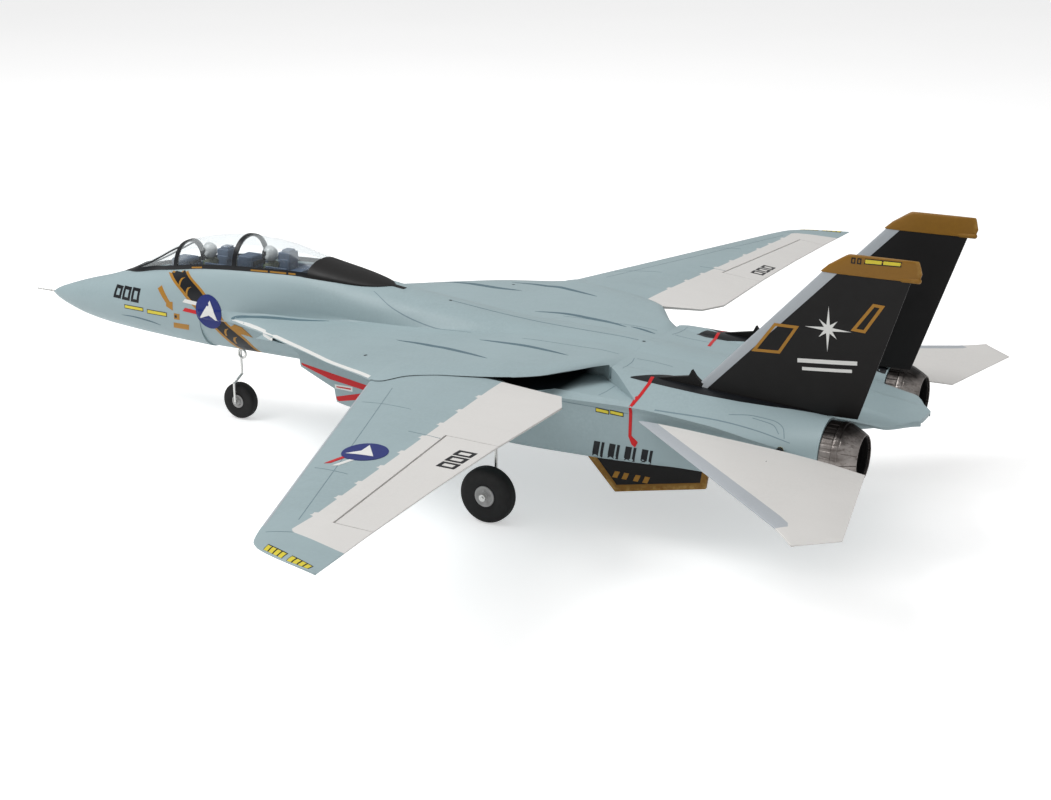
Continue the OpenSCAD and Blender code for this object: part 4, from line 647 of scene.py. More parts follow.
# thin windscreen posts from the brow up to the front bow
for s in (1, -1):
    V = []
    pts = [(float(y), float(mix(0.62, 0.98, t)) if s > 0 else math.pi - float(mix(0.62, 0.98, t))) for t, y in zip(np.linspace(0, 1, 14), np.linspace(-489, -408, 14))]
    rings = []
    for y, p in pts:
        c = np.array(hz(y, p, 0.0)); c2 = np.array(hz(y, p, 1.9)); dn = (c2 - c) / np.linalg.norm(c2 - c); t_ = np.cross(dn, [0, 1, 0]); t_ /= np.linalg.norm(t_)
        o = c - dn * 0.5; rings.append([tuple(o - t_ * 0.9), tuple(o + t_ * 0.9), tuple(o + t_ * 0.9 + dn * 2.2), tuple(o - t_ * 0.9 + dn * 2.2)])
    frame_bits.append(loft("post", rings))
frame_piece = joined("canopy_frame", frame_bits)
glass_piece = joined("canopy_panes", panes)
fairing = shell("rear_fairing_skin", [-165] + [float(v) for v in np.linspace(-160, -29, 34)] + [-27.2], full, 0.0, 2.3, 64)

# ------------------------------------------------------------------ cockpit
def rbox(name, a, b, r=1.2, seg=3, taper=0.0):
    o = block(name, a, b); bm = bmesh.new(); bm.from_mesh(o.data)
    if taper:
        zt = max(v.co.z for v in bm.verts); cx = sum(v.co.x for v in bm.verts) / len(bm.verts); cy = sum(v.co.y for v in bm.verts) / len(bm.verts)
        for v in bm.verts:
            if v.co.z > zt - 1e-6: v.co.x = cx + (v.co.x - cx) * (1 - taper); v.co.y = cy + (v.co.y - cy) * (1 - taper)
    bmesh.ops.bevel(bm, geom=list(bm.edges), offset=r / 1000, segments=seg, profile=0.5, affect="EDGES", clamp_overlap=True)
    bm.to_mesh(o.data); bm.free(); return o
def ell(name, c, r, nu=32, nv=20, v0=-90, v1=90, u0=0, u1=360):
    """part of an ellipsoid as a closed solid when the range is full"""
    rings = []
    for i in range(nv + 1):
        t = math.radians(mix(v0, v1, i / nv)); t = max(min(t, math.radians(88.5)), math.radians(-88.5))
        rings.append([(c[0] + r[0] * math.cos(t) * math.cos(2 * math.pi * j / nu), c[1] + r[1] * math.cos(t) * math.sin(2 * math.pi * j / nu), c[2] + r[2] * math.sin(t)) for j in range(nu)])
    return loft(name, rings)
tub_o = prism("tub", tub_plan(0), "z", 200, 248)
boolean(tub_o, prism("ti", tub_plan(-1.8), "z", 201.6, 300))
boolean(tub_o, prism("tc", [(-500, 190)] + [(float(y), float(S(y)) - 0.8) for y in np.linspace(-490, -150, 60)] + [(-150, 190)], "x", -60, 60), "INTERSECT")
def shelf(y0, y1): # side ledges between tub wall and sill: not built, this returns nothing
    return None
tub_bits = [tub_o,
    rbox("coam1", (-17, -430, 201.5), (17, -396, 240), 3.0, 4, 0.12), rbox("coam2", (-15, -307, 201.5), (15, -279, 257), 2.4, 4, 0.10),
    rbox("con1", (-26.5, -392, 201.4), (-18, -338, 226), 1.2), rbox("con2", (18, -392, 201.4), (26.5, -338, 226), 1.2),
    rbox("con3", (-27, -272, 201.4), (-18, -222, 233), 1.2), rbox("con4", (18, -272, 201.4), (27, -222, 233), 1.2),
    rbox("shelf", (-27, -213, 201.4), (27, -194, 245.5), 2.0)]
dark_bits = [rbox("pan1", (-13, -395.9, 214), (13, -394.6, 236), 0.5), rbox("pan2", (-12, -278.9, 214), (12, -277.4, 250), 0.5)]
for i, (x, z, r) in enumerate([(-7, 229, 3), (0, 230, 2.4), (7, 229, 3), (-4, 221, 2.6), (4.5, 221, 2.6)]):
    tub_bits.append(cyl("dial", (x, -394.7, z), (x, -393.9, z), r, 20)); tub_bits.append(cyl("dial", (x, -277.5, z + 12), (x, -276.7, z + 12), r, 20))
for x, y in ((0, -375), (0, -262)): # control sticks
    dark_bits.append(cyl("stick", (x, y - 12, 202), (x, y - 10, 219), 1.1, 12)); dark_bits.append(capsule("grip", (x, y - 10, 219), (x, y - 9.4, 223), 1.8, 12))
seat_bits = []
for y, z in ((-346, 266), (-236, 273)):
    seat_bits += [rbox("back", (-12.5, y + 4, 203), (12.5, y + 20, z - 13), 2.0), rbox("head", (-11.5, y + 1, z - 19), (11.5, y + 22, z - 4), 1.4, 3, 0.05), rbox("headtop", (-7.5, y + 5, z - 6), (7.5, y + 20, z - 0.5), 1.2, 3, 0.08),
                  rbox("cush", (-13, y - 24, 202.5), (13, y + 5, 211.5), 2.2), rbox("sideL", (-15.2, y - 20, 203), (-12.8, y + 17, z - 26), 0.9), rbox("sideR", (12.8, y - 20, 203), (15.2, y + 17, z - 26), 0.9)]
pil = {"helm": [], "vis": [], "green": [], "olive": []}
for y, z in ((-366, 255), (-256, 262)):
    h = ell("helm", (0, y, z), (10.6, 11.4, 11.3), 48, 32)
    boolean(h, rbox("face", (-7.6, y - 16, z - 13), (7.6, y - 5.6, z + 2.0), 1.8))
    pil["helm"].append(h)
    pil["helm"].append(ell("ridge", (0, y + 0.5, z + 5.4), (2.1, 10.4, 7.0), 24, 16))
    for s in (1, -1): pil["helm"].append(ell("ear", (s * 9.7, y + 1, z - 3.4), (2.2, 3.8, 4.2), 24, 12))
    v = ell("visor", (0, y - 0.7, z), (11.1, 12.0, 11.6), 48, 32)
    boolean(v, rbox("vb", (-14, y - 18, z - 6.4), (14, y - 0.2, z + 5.4), 2.2), "INTERSECT"); pil["vis"].append(v)
    pil["vis"].append(ell("mask", (0, y - 9.6, z - 6.2), (4.6, 5.0, 4.4), 28, 16))
    pil["vis"].append(capsule("hose", (0, y - 11.5, z - 9.5), (1.5, y - 10.5, z - 22), 1.5, 16))
    pil["olive"].append(ell("torso", (0, y + 2, z - 27), (10.5, 7.6, 17), 40, 24))
    pil["olive"].append(ell("neck", (0, y + 1.5, z - 11), (5.4, 5.4, 4), 28, 12))
    for s in (1, -1):
        pil["olive"].append(ell("shoulder", (s * 8.6, y + 1, z - 17), (5.6, 5.8, 5.2), 28, 16))
        pil["olive"].append(capsule("arm", (s * 12.5, y + 0.5, z - 19), (s * 12.2, y - 6, z - 33), 3.3, 20)); pil["olive"].append(capsule("fore", (s * 12.2, y - 6, z - 33), (s * 5.0, y - 15, z - 35), 2.8, 20))
        pil["green"].append(rbox("vest", (min(s * 1.6, s * 9.6), y - 7.4, z - 31), (max(s * 1.6, s * 9.6), y - 1.5, z - 14.5), 1.6))
        pil["helm"].append(capsule("collar", (s * 5.4, y - 4.8, z - 13.6), (s * 2.0, y - 7.2, z - 17.5), 1.1, 12))
        pil["olive"].append(capsule("thigh", (s * 6.0, y - 2, z - 43), (s * 7.0, y - 20, z - 40.5), 4.0, 20))

# ------------------------------------------------------------------ wheels
def lathe_x(name, prof, c, n=96):
    """closed ring profile [(axial, radius)] turned about the x axis"""
    V, F = [], []; m = len(prof)
    for i in range(n):
        t = 2 * math.pi * i / n
        for a, r in prof: V.append((c[0] + a, c[1] + r * math.cos(t), c[2] + r * math.sin(t)))
    for i in range(n):
        for j in range(m):
            k = (j + 1) % m; q = (i + 1) % n; F.append((i * m + j, i * m + k, q * m + k, q * m + j))
    return fix_normals(make(name, V, F))
def tyre(name, c, r, ri, w):
    h = w / 2; pr = []
    side = [(h - 1.6, ri + 0.02), (h - 0.7, ri + 0.6), (h - 0.5, ri + 2.2), (h - 0.9, ri + 2.7), (h - 0.35, ri + 3.4)]
    side += [(h * (math.cos(t) ** 0.55), mix(r - 9.5, r, math.sin(t) ** 0.8)) for t in np.linspace(0.02, math.pi / 2 - 0.12, 14)]
    prof = side + [(1.2, r), (0.9, r - 0.0), (-0.9, r), (-1.2, r)] + [(-a, q) for a, q in side[::-1]]
    return lathe_x(name, prof, c, 128)
def hub(name, c, ri, w):
    h = w / 2; e = ri - 0.05
    half = [(h + 0.8, 2.1), (h + 0.8, 4.4), (h + 0.3, 5.0), (h - 2.2, 5.2), (h - 2.8, 6.0), (h - 2.6, ri - 4.2), (h - 1.8, ri - 3.4), (h - 1.2, ri - 2.2), (h - 0.7, ri - 1.7), (h - 0.6, ri - 0.6), (h - 1.1, e), (h - 1.7, e)]
    o = lathe_x(name, half + [(-a, q) for a, q in half[::-1]], c, 96)
    for k in range(5):   # round lightening dimples on both faces
        t = 2 * math.pi * k / 5 + 0.3; rr = (ri - 4 + 5.6) / 2
        for s in (1, -1): boolean(o, cyl("dm", (c[0] + s * (h - 3.6), c[1] + rr * math.cos(t), c[2] + rr * math.sin(t)), (c[0] + s * (h + 2), c[1] + rr * math.cos(t), c[2] + rr * math.sin(t)), min(1.6, (ri - 9.2) / 2 + 0.3), 20))
    return o
# ------------------------------------------------------------------ colour splits, pieces and bodies
def split(o, cutter, mat_in, mat_out):
    """the part of o inside cutter takes mat_in and the rest mat_out, with a crisp edge between them"""
    o2 = o.copy(); o2.data = o.data.copy(); bpy.context.scene.collection.objects.link(o2)
    boolean(o2, cutter, "INTERSECT", keep=True); boolean(o, cutter, "DIFFERENCE")
    for q, m in ((o, mat_out), (o2, mat_in)): q.data.materials.clear(); q.data.materials.append(m)
    name = o.name; j = joined(name + "_j", [o, o2]); j.name = name; return j

def white_front(s=1):
    base = lambda x: 246 + 0.0847 * (x - 217.7)
    pts = [(195, base(195))]
    for xb in (282, 336, 386, 432, 483, 531, 580, 623, 671):
        pts += [(xb - 5, base(xb - 5)), (xb - 3.5, base(xb) - 4.2), (xb + 1, base(xb) - 3.4), (xb + 3.5, base(xb) - 5.0), (xb + 5.5, base(xb + 5))]
    pts += [(712, base(712) - 3.5), (718, base(718) + 1.5), (733.5, 372), (195, 372)]
    return [(s * x, y) for x, y in pts]
for side, s in (("left", 1), ("right", -1)):
    w, a = WINGS[side]
    w = split(w, prism("wc", white_front(s), "z", 150, 250), M_WHITE, M_GREY); w.name = side + "_wing_skin"
    a.name = side + "_aileron_skin"; a.data.materials.clear(); a.data.materials.append(M_WHITE)
    WINGS[side] = (w, a)
    finish_piece(w, None, side + "_wing", [side + "_wing"]); finish_piece(a, None, side + "_aileron", [side + "_aileron"])

def fin_side(s, strip):
    f = strip_fin if s > 0 else mirrored(strip_fin, "fin_r"); return f
# pale strip along the fin's front edge
strip_fin = split(fin, prism("fs", [(430, 180), (449 + 15, 190), (454 + 15, 196), (614 + 18.5, 366), (614 + 18.5, 380), (430, 380)], "x", 60, 160), M_PALE, M_BLACK)
stab = split(stab, prism("ss", [(150, 380), (178, 437), (346, 655), (358, 668), (366, 671), (376, 660), (330, 560), (200, 380)], "z", 120, 200), M_PALE, M_WHITE)
for side, s in (("left", 1), ("right", -1)):
    mk_ = (lambda o, n: (setattr(o, "name", n), o)[1]) if s > 0 else (lambda o, n: mirrored(o, n))
    parts = {"fin": strip_fin, "cap": cap, "strake": strake, "stab": stab, "ventral": ventral, "rim": rim}
    if s > 0:
        right = {k: mirrored(v, "r_" + k) for k, v in parts.items()}; cur = parts
    else: cur = right
    f = cur["fin"]; f.name = side + "_fin_skin"; finish_piece(f, None, "airframe", [side + "_fin"])
    c = cur["cap"]; c.name = side + "_fin_cap"; finish_piece(c, M_GOLD, "airframe", deg=40)
    k = cur["strake"]; k.name = side + "_fin_strake"; finish_piece(k, M_BLACK, "airframe")
    t = cur["stab"]; t.name = side + "_stab_skin"; finish_piece(t, None, side + "_stab", [side + "_stab"])
    v = cur["ventral"]; v.name = side + "_ventral_fin"; finish_piece(v, M_BLACK, "airframe", ["ventral_fins"])
    r = cur["rim"]; r.name = side + "_ventral_rim"; finish_piece(r, M_GOLD, "airframe")
    nz = nozzle(side + "_nozzle_petals", s); finish_piece(nz, M_NOZ, "airframe", ["nozzles"], deg=24, weighted=False)
    ln = liner(side + "_nozzle_liner", s); finish_piece(ln, M_SOOT, "airframe")
    cx = 0.182 * s
    ty = tyre(side + "_tyre_skin", (s * 182, 205, 37.2), 37.2, 14, 23); finish_piece(ty, M_TYRE, side + "_wheel", [side + "_tyre"], deg=50)
    hb = hub(side + "_hub_disc", (s * 182, 205, 37.2), 14, 23); finish_piece(hb, M_HUB, side + "_wheel", [side + "_hub"])
ty = tyre("nose_tyre_skin", (0, -325, 27.7), 27.7, 10, 19); finish_piece(ty, M_TYRE, "nose_wheel", ["nose_tyre"], deg=50)
hb = hub("nose_hub_disc", (0, -325, 27.7), 10, 19); finish_piece(hb, M_HUB, "nose_wheel", ["nose_hub"])

finish_piece(nose, M_GREY, "airframe", ["nose_shell"])
def inside_poly(p, poly):
    c = False
    for i in range(len(poly)):
        a, b = poly[i], poly[i - 1]
        if (a[1] > p[1]) != (b[1] > p[1]) and p[0] < (b[0] - a[0]) * (p[1] - a[1]) / (b[1] - a[1]) + a[0]: c = not c
    return c
def shade_slots(o):
    """the inside faces of the wing slots take the painted shade"""
    o.data.materials.clear(); o.data.materials.append(M_GREY); o.data.materials.append(M_SLOT_SHADE); P = swept_plan(22, 2.45)
    for f in o.data.polygons:
        x, y, z = f.center.x * 1000, f.center.y * 1000 + Y0, f.center.z * 1000; nz = f.normal.z; f.material_index = 0
        if not (WZ - 11.4 < z < WZ + 10.6) or not inside_poly((abs(x), y), P): continue
        if abs(x) < 205.95 or (z > WZ and nz < -0.05) or (z < WZ and nz > 0.05): f.material_index = 1
shade_slots(upper); shade_slots(lower)
finish_piece(upper, None, "airframe", ["upper_shell"])
finish_piece(lower, None, "airframe", ["lower_shell"])
finish_piece(frame_piece, M_FBLACK, "hatch", ["hatch_frame"], deg=40)
finish_piece(glass_piece, M_GLASS, "hatch", ["canopy_glass"], deg=40)
finish_piece(fairing, M_BLACK, "hatch", ["rear_fairing"], deg=40)
tubp = joined("cockpit_tray", tub_bits); finish_piece(tubp, M_TUB, "hatch", ["cockpit_tub"], deg=40)
darkp = joined("cockpit_panels", dark_bits); finish_piece(darkp, M_TUB2, "hatch", deg=40)
seatp = joined("ejection_seats", seat_bits); finish_piece(seatp, M_TUB, "hatch", ["seats"], deg=40)
p1 = joined("pilot_helmets", pil["helm"]); finish_piece(p1, M_HELM, "hatch", ["pilots"], deg=45)
p2 = joined("pilot_visors", pil["vis"]); finish_piece(p2, M_VISOR, "hatch", deg=45)
p3 = joined("pilot_vests", pil["green"]); finish_piece(p3, M_SUIT, "hatch", deg=45)
p4 = joined("pilot_suits", pil["olive"]); finish_piece(p4, M_SUIT2, "hatch", deg=45)

CAD_MATS = {"pitot_tube": M_STEEL, "fan_housings": M_BPL, "fan_motors": M_MOTOR, "battery": M_BATT, "battery_tray": M_PLY, "speed_controllers": M_ESC, "receiver": M_BPL, "sweep_servos": M_BPL,
            "steering_servo": M_BPL, "stab_servos": M_BPL, "spar_plate": M_CARBON, "pivot_bolts": M_STEEL, "stab_bushes": M_BRASS, "main_gear_mounts": M_BPL, "main_gear_wires": M_STEEL, "nose_gear_block": M_BPL,
            "deck_screws": M_BPL, "wheel_collars": M_STEEL, "left_rotor": M_BPL, "right_rotor": M_BPL, "nose_gear_wire": M_STEEL, "steering_arm": M_WPL, "steering_rod": M_STEEL}
for side in ("left", "right"):
    CAD_MATS.update({side + "_root_plate": M_BPL, side + "_aileron_servo": M_BPL, side + "_torque_rod": M_STEEL, side + "_stab_shaft": M_BPL, side + "_stab_arm": M_WPL, side + "_stab_rod": M_STEEL})
for n, m in CAD_MATS.items():
    o = frame["nodes"][n]; o.data.materials.clear(); o.data.materials.append(m)
    for p in o.data.polygons: p.use_smooth = True
    md = o.modifiers.new("es", "EDGE_SPLIT"); md.split_angle = math.radians(32)
# ------------------------------------------------------------------ markings: thin closed films draped over the skins
def tree_of(*names):
    V, F = [], []
    for n in names:
        o = bpy.data.objects[n]; b = len(V); V += [v.co.copy() for v in o.data.vertices]; F += [tuple(i + b for i in p.vertices) for p in o.data.polygons]
    return BVHTree.FromPolygons(V, F)
T_BODY = tree_of("nose_skin", "upper_skin", "lower_skin"); T_WING = tree_of("left_wing_skin"); T_AIL = tree_of("left_aileron_skin")
T_FIN = tree_of("left_fin_skin"); T_CAP = tree_of("left_fin_cap"); T_VEN = tree_of("left_ventral_fin"); T_HATCH = tree_of("canopy_frame"); T_STAB = tree_of("left_stab_skin")
RAYS = {"top": (lambda a, b: (a, b, 700.0), Vector((0, 0, -1))), "bot": (lambda a, b: (a, b, -300.0), Vector((0, 0, 1))),
        "port": (lambda a, b: (900.0, a, b), Vector((-1, 0, 0))), "in": (lambda a, b: (20.0, a, b), Vector((1, 0, 0)))}
FILMS = {}
def dense(pts, step):
    out = []
    for i, p in enumerate(pts):
        q = pts[(i + 1) % len(pts)]; n = max(1, int(math.hypot(q[0] - p[0], q[1] - p[1]) / step + 0.5))
        out += [(p[0] + (q[0] - p[0]) * k / n, p[1] + (q[1] - p[1]) * k / n) for k in range(n)]
    return out
def inside(p, poly):
    c = False; n = len(poly)
    for i in range(n):
        a, b = poly[i], poly[i - 1]
        if (a[1] > p[1]) != (b[1] > p[1]) and p[0] < (b[0] - a[0]) * (p[1] - a[1]) / (b[1] - a[1]) + a[0]: c = not c
    return c
def film(body, mat, slot, pts, ray, tree, layer=0, step=5.0, mirror=True):
    at, d = RAYS[ray]; poly = dense(pts, step); n = len(poly)
    lo = [min(p[i] for p in poly) for i in (0, 1)]; hi = [max(p[i] for p in poly) for i in (0, 1)]; extra = []
    gx = np.arange(lo[0] + step * 0.55, hi[0], step); gy = np.arange(lo[1] + step * 0.5, hi[1], step)
    for j, b in enumerate(gy):
        for a in gx:
            q = (float(a) + (step / 2 if j % 2 else 0), float(b))
            if inside(q, poly) and min(math.hypot(q[0] - p[0], q[1] - p[1]) for p in poly) > step * 0.42: extra.append(q)
    vs, _, fs, _, _, _ = delaunay_2d_cdt([Vector(p) for p in poly + extra], [], [list(range(n))], 1, 1e-6)
    off = (0.16 + 0.09 * layer) / 1000; top, bot = {}, {}
    for i, v in enumerate(vs):
        h = tree.ray_cast(Vector(mm(at(v[0], v[1]))), d)
        if h[0] is None or abs(h[1].dot(d)) < 0.06: continue
        nn = h[1] if h[1].dot(d) < 0 else -h[1]; top[i] = h[0] + nn * off; bot[i] = h[0] - nn * 0.00022
    key = (body, mat.name, slot)
    G = FILMS.setdefault(key, [mat, mirror, [], []]) if mirror else FILMS.setdefault(key + (0,), [mat, False, [], []])
    V, F = G[2], G[3]; ids = {}; keep = []
    for f in fs:
        if not all(i in top for i in f): continue
        ok = all((top[f[k]] - top[f[k - 1]]).length * 1000 < 3.2 * math.hypot(vs[f[k]][0] - vs[f[k - 1]][0], vs[f[k]][1] - vs[f[k - 1]][1]) + 1.0 for k in range(len(f)))
        if ok: keep.append(tuple(f))
    if not keep: print("FILM EMPTY", body, mat.name, pts[0]); return
    edges = {}
    for f in keep:
        for k in range(len(f)): edges[(f[k - 1], f[k])] = 1
    for i in {i for f in keep for i in f}: ids[i] = len(V); V.append(top[i]); V.append(bot[i])
    for f in keep: F.append([ids[i] for i in f]); F.append([ids[i] + 1 for i in f][::-1])
    for (a, b) in edges:
        if (b, a) not in edges: F.append([ids[b], ids[a], ids[a] + 1, ids[b] + 1])
def band(path, w, taper=False):
    """a strip of width w (one value or one per point) along a path"""
    P = [np.array(p, float) for p in path]; n = len(P); W = [w] * n if not hasattr(w, "__len__") else list(w)
    if taper: W = [w * (0.06 + math.sin(math.pi * i / (n - 1)) ** 0.7) for i in range(n)]
    L, R = [], []
    for i in range(n):
        t = P[min(i + 1, n - 1)] - P[max(i - 1, 0)]; t /= np.linalg.norm(t); q = np.array([-t[1], t[0]]) * W[i] / 2
        L.append(tuple(P[i] + q)); R.append(tuple(P[i] - q))
    return L + R[::-1]
def curve(path, n=14):
    s = np.linspace(0, 1, len(path)); f = pchip(list(zip(s, [p[0] for p in path]))); g = pchip(list(zip(s, [p[1] for p in path])))
    return [(float(f(t)), float(g(t))) for t in np.linspace(0, 1, n)]
def ell(c, a, b, n=40, rot=0): return [(c[0] + a * math.cos(t) * math.cos(rot) - b * math.sin(t) * math.sin(rot), c[1] + a * math.cos(t) * math.sin(rot) + b * math.sin(t) * math.cos(rot)) for t in np.linspace(0, 2 * math.pi, n, endpoint=False)]
def place(pts, c, k=1.0, rot=0.0): return [(c[0] + k * (x * math.cos(rot) - y * math.sin(rot)), c[1] + k * (x * math.sin(rot) + y * math.cos(rot))) for x, y in pts]
def hollow(quad, w):
    """outline of a four-sided block as two halves that share their seams"""
    Q = [np.array(p, float) for p in quad]; c = sum(Q) / 4; I = []
    for i in range(4):
        a, b, d = Q[i], Q[(i + 1) % 4] - Q[i], Q[i - 1] - Q[i]; sb = b / np.linalg.norm(b); sd = d / np.linalg.norm(d)
        sn = abs(sb[0] * sd[1] - sb[1] * sd[0]); I.append(a + (sb + sd) * w / max(sn, 0.35))
    m0, m2 = (Q[0] + Q[1]) / 2, (Q[2] + Q[3]) / 2; n0, n2 = (I[0] + I[1]) / 2, (I[2] + I[3]) / 2
    h1 = [m0, Q[1], Q[2], m2, n2, I[2], I[1], n0]; h2 = [m2, Q[3], Q[0], m0, n0, I[0], I[3], n2]
    return [[tuple(p) for p in h] for h in (h1, h2)]
def blocks(body, mat, slot, quads, w, ray, tree, layer=0, mirror=True):
    for q in quads:
        for h in hollow(q, w): film(body, mat, slot, h, ray, tree, layer, 4.0, mirror)

A, SL = "airframe", "foam"
# nose and body side
def slant(y0, y1, z0, z1, s=1.6): return [(y0 - s, z0), (y1 - s, z0), (y1 + s, z1), (y0 + s, z1)]
blocks(A, M_FBLACK, SL, [slant(-521.5, -505, 173.4, 192.2), slant(-502.6, -486, 173.0, 193.4), slant(-483.6, -467, 172.6, 194.2)], 4.6, "port", T_BODY)
for q in ([(-498.3, 161.0), (-461.2, 161.5), (-461.0, 165.6), (-498.0, 165.1)], [(-451.6, 160.0), (-414.0, 160.4), (-413.5, 165.0), (-451.0, 164.8)]):
    film(A, M_FBLACK, SL, [(q[0][0] - 1.2, q[0][1] - 1.1), (q[1][0] + 1.2, q[1][1] - 1.1), (q[2][0] + 1.2, q[2][1] + 1.1), (q[3][0] - 1.2, q[3][1] + 1.1)], "port", T_BODY, 0)
    film(A, M_YELLOW, SL, q, "port", T_BODY, 2)
film(A, M_FGOLD, SL, [(-430.1, 199.9), (-422.5, 205.4), (-405, 184), (-399.2, 184.4), (-399.8, 170.8), (-412.4, 176), (-412, 180.5)], "port", T_BODY, 1)
film(A, M_FGOLD, SL, [(-399.6, 157.8), (-388.6, 158), (-387.2, 167.3), (-398.2, 167.2)], "port", T_BODY, 1); film(A, M_FBLACK, SL, [(-397.6, 160.5), (-393.4, 160.5), (-393.2, 164.5), (-397.2, 164.5)], "port", T_BODY, 3)
film(A, M_FGOLD, SL, [(-404.6, 143.2), (-374.6, 143.8), (-371.6, 152.6), (-401.6, 152)], "port", T_BODY, 1)
SLo = curve([(-421, 225.8), (-403.1, 214.9), (-382.4, 201.7), (-365.7, 187.9), (-350, 176), (-334, 163), (-323.8, 151.9), (-312.4, 137.7), (-305, 126), (-300, 114)], 26)
SRo = curve([(-380.5, 232.6), (-367.5, 224.8), (-346, 213), (-333.5, 203), (-322, 192), (-310, 180), (-300, 166), (-283, 153.5), (-267, 138.3), (-260, 119)], 26)
film(A, M_FGOLD, SL, SLo + SRo[::-1], "port", T_BODY, 0, 3.0)
inl = [(l[0] + (r[0] - l[0]) * 0.16, l[1] + (r[1] - l[1]) * 0.16) for l, r in zip(SLo, SRo)]; inr = [(l[0] + (r[0] - l[0]) * 0.86, l[1] + (r[1] - l[1]) * 0.86) for l, r in zip(SLo, SRo)]
film(A, M_FBLACK, SL, inl + inr[::-1], "port", T_BODY, 2, 3.0)
CHV = [(-4.5, -7), (-5.5, -1), (-2.5, 4.5), (5.5, 7), (0.5, 3), (-1.5, -1.5), (-1.8, -7)]
for c in ((-383.5, 216), (-368, 205), (-303.5, 150.5), (-292, 138.5)): film(A, M_FGOLD, SL, place(CHV, c, 0.95), "port", T_BODY, 4, 3.0)
film(A, M_FGOLD, SL, [(-294.8, 160), (-286, 165.5), (-272.6, 162.5), (-262, 153.5), (-257.5, 148.5), (-274, 151), (-283, 149.5)], "port", T_BODY, 4)
# round badge: blue disc, white wedge, two trailing stripes
WEDGE = [(-0.66, -0.5), (0.06, -0.2), (0.72, -0.5), (0.1, 0.74)]
def badge(body, slot, c, k, ray, tree, rot, ax=1.0, mirror=True, sg=1):
    for a, b in ((0.22, 0.44), (-0.3, -0.08)):
        film(body, M_FWHITE if a > 0 else M_RED, slot, place([(sg * 0.8, a), (sg * 1.9, a), (sg * 1.72, b), (sg * 0.8, b)], c, k, rot), ray, tree, 3, 3.0, mirror)
    film(body, M_BLUE, slot, [(c[0] + (p[0] - c[0]) * ax, p[1]) for p in ell(c, k, k)], ray, tree, 5, 3.0, mirror)
    film(body, M_FWHITE, slot, place(WEDGE, c, k * 0.92, rot), ray, tree, 9, 2.5, mirror)
badge(A, SL, (-330.6, 178.6), 26.0, "port", T_BODY, -0.05, 0.92, sg=-1)
film(A, M_TEAL, SL, band(curve([(-510, 147.6), (-485, 148.6), (-461, 147.2), (-445, 145.5), (-430, 142.6)]), 2.4, True), "port", T_BODY)
# painted shade: tapered dark band in the fillet where the hump meets the deck
film(A, M_TEAL, SL, band(curve([(61, -286), (65, -262), (69, -235), (72, -200), (73, -160), (66, -112)], 24), 15.0, True), "top", T_BODY, 0, 4.0)
# white line along the glove's front edge, red bands with a plain label on the intake's side
def glove_edge(y):
    x = float(W(y)) + 3
    while x > 40:
        h = T_BODY.ray_cast(Vector(mm((x, y, 700.0))), Vector((0, 0, -1)))
        if h[0] is not None and h[0].z > 0.15: return x
        x -= 0.25
    return x
GE = [(glove_edge(float(y)), float(y)) for y in np.linspace(-282, 84, 80)]
film(A, M_FWHITE, SL, [(x - 1.0, y) for x, y in GE] + [(x - mix(1.8, 7.0, min(1, (y + 282) / 60)), y + 0.5) for x, y in GE[::-1]], "top", T_BODY, 0, 3.0)
film(A, M_RED, SL, [(-116, 165), (-92, 158), (-51.3, 146.4), (4.1, 139.9), (10.1, 147.4), (-50.7, 155.7)], "port", T_BODY, 0)
film(A, M_RED, SL, [(-44.3, 115.4), (-4.6, 124.7), (5.7, 136.3), (-43, 122.8)], "port", T_BODY, 0)
film(A, M_FWHITE, SL, [(-43.5, 134.5), (-15.1, 134.4), (-14.6, 141.4), (-44, 140.3)], "port", T_BODY, 0); film(A, M_RED, SL, [(-41, 136.6), (-17.5, 136.8), (-17.2, 138.8), (-41.2, 138.2)], "port", T_BODY, 2)
# dark streaks on the deck: painted shade standing in for shallow recesses that are not modelled
for p, w in ((((123.3, 34.4), (128.2, 71.6), (139.9, 116.5), (151.8, 157.7), (163.2, 195.0)), 7.5), (((86.4, 140.3), (89.1, 176.2), (91.2, 211.3), (96.6, 244.8), (104.7, 280.4)), 7.5),
             (((-184, -88), (-181, -33), (-173.3, 18.9), (-168.9, 66.1)), 9), (((-214.6, 25.4), (-212.7, 61.8), (-202.8, 98.8), (-185.8, 144.8), (-169.0, 188.2)), 8),
             (((-70.1, 140.2), (-72.1, 181.0), (-64.6, 228.7), (-59.7, 259.9), (-49.5, 290.3)), 8), (((-53.5, 294.1), (-50, 314), (-46.3, 333.8)), 5)):
    film(A, M_TEAL, SL, band(curve(p, 20), w, True), "top", T_BODY, 0, 5.0, mirror=False)
# black roots of the fins on the nacelles, red lines across, yellow dashes and dark bars on the side
film(A, M_FBLACK, SL, [(121.5, 375), (123.5, 376), (125, 392), (126.5, 430), (127, 470), (125.5, 520), (122, 563), (116, 600), (108, 634), (103, 650), (99, 650), (99, 560), (97, 480), (94, 440), (94, 418), (102, 404), (113, 388)], "top", T_BODY, 0)
film(A, M_RED, SL, band([(-45, 411), (-74, 406), (-104, 401.2)], 4.2), "top", T_BODY, 2, mirror=False)
film(A, M_FBLACK, SL, [(-105, 384), (-84, 377), (-80, 392), (-85, 420), (-93, 452), (-101, 452)], "top", T_BODY, 0, mirror=False); film(A, M_RED, SL, band([(112, 400.8), (129, 403), (150, 402.2), (160, 401.0), (170.6, 399.6)], 4.4), "top", T_BODY, 2, 2.5)
film(A, M_RED, SL, [(397.4, 191.0), (401.8, 191.0), (401.4, 184), (400.6, 146), (409, 139), (405.4, 131.5), (400.6, 134.6), (396.4, 144.6)], "port", T_BODY, 2, 2.5)
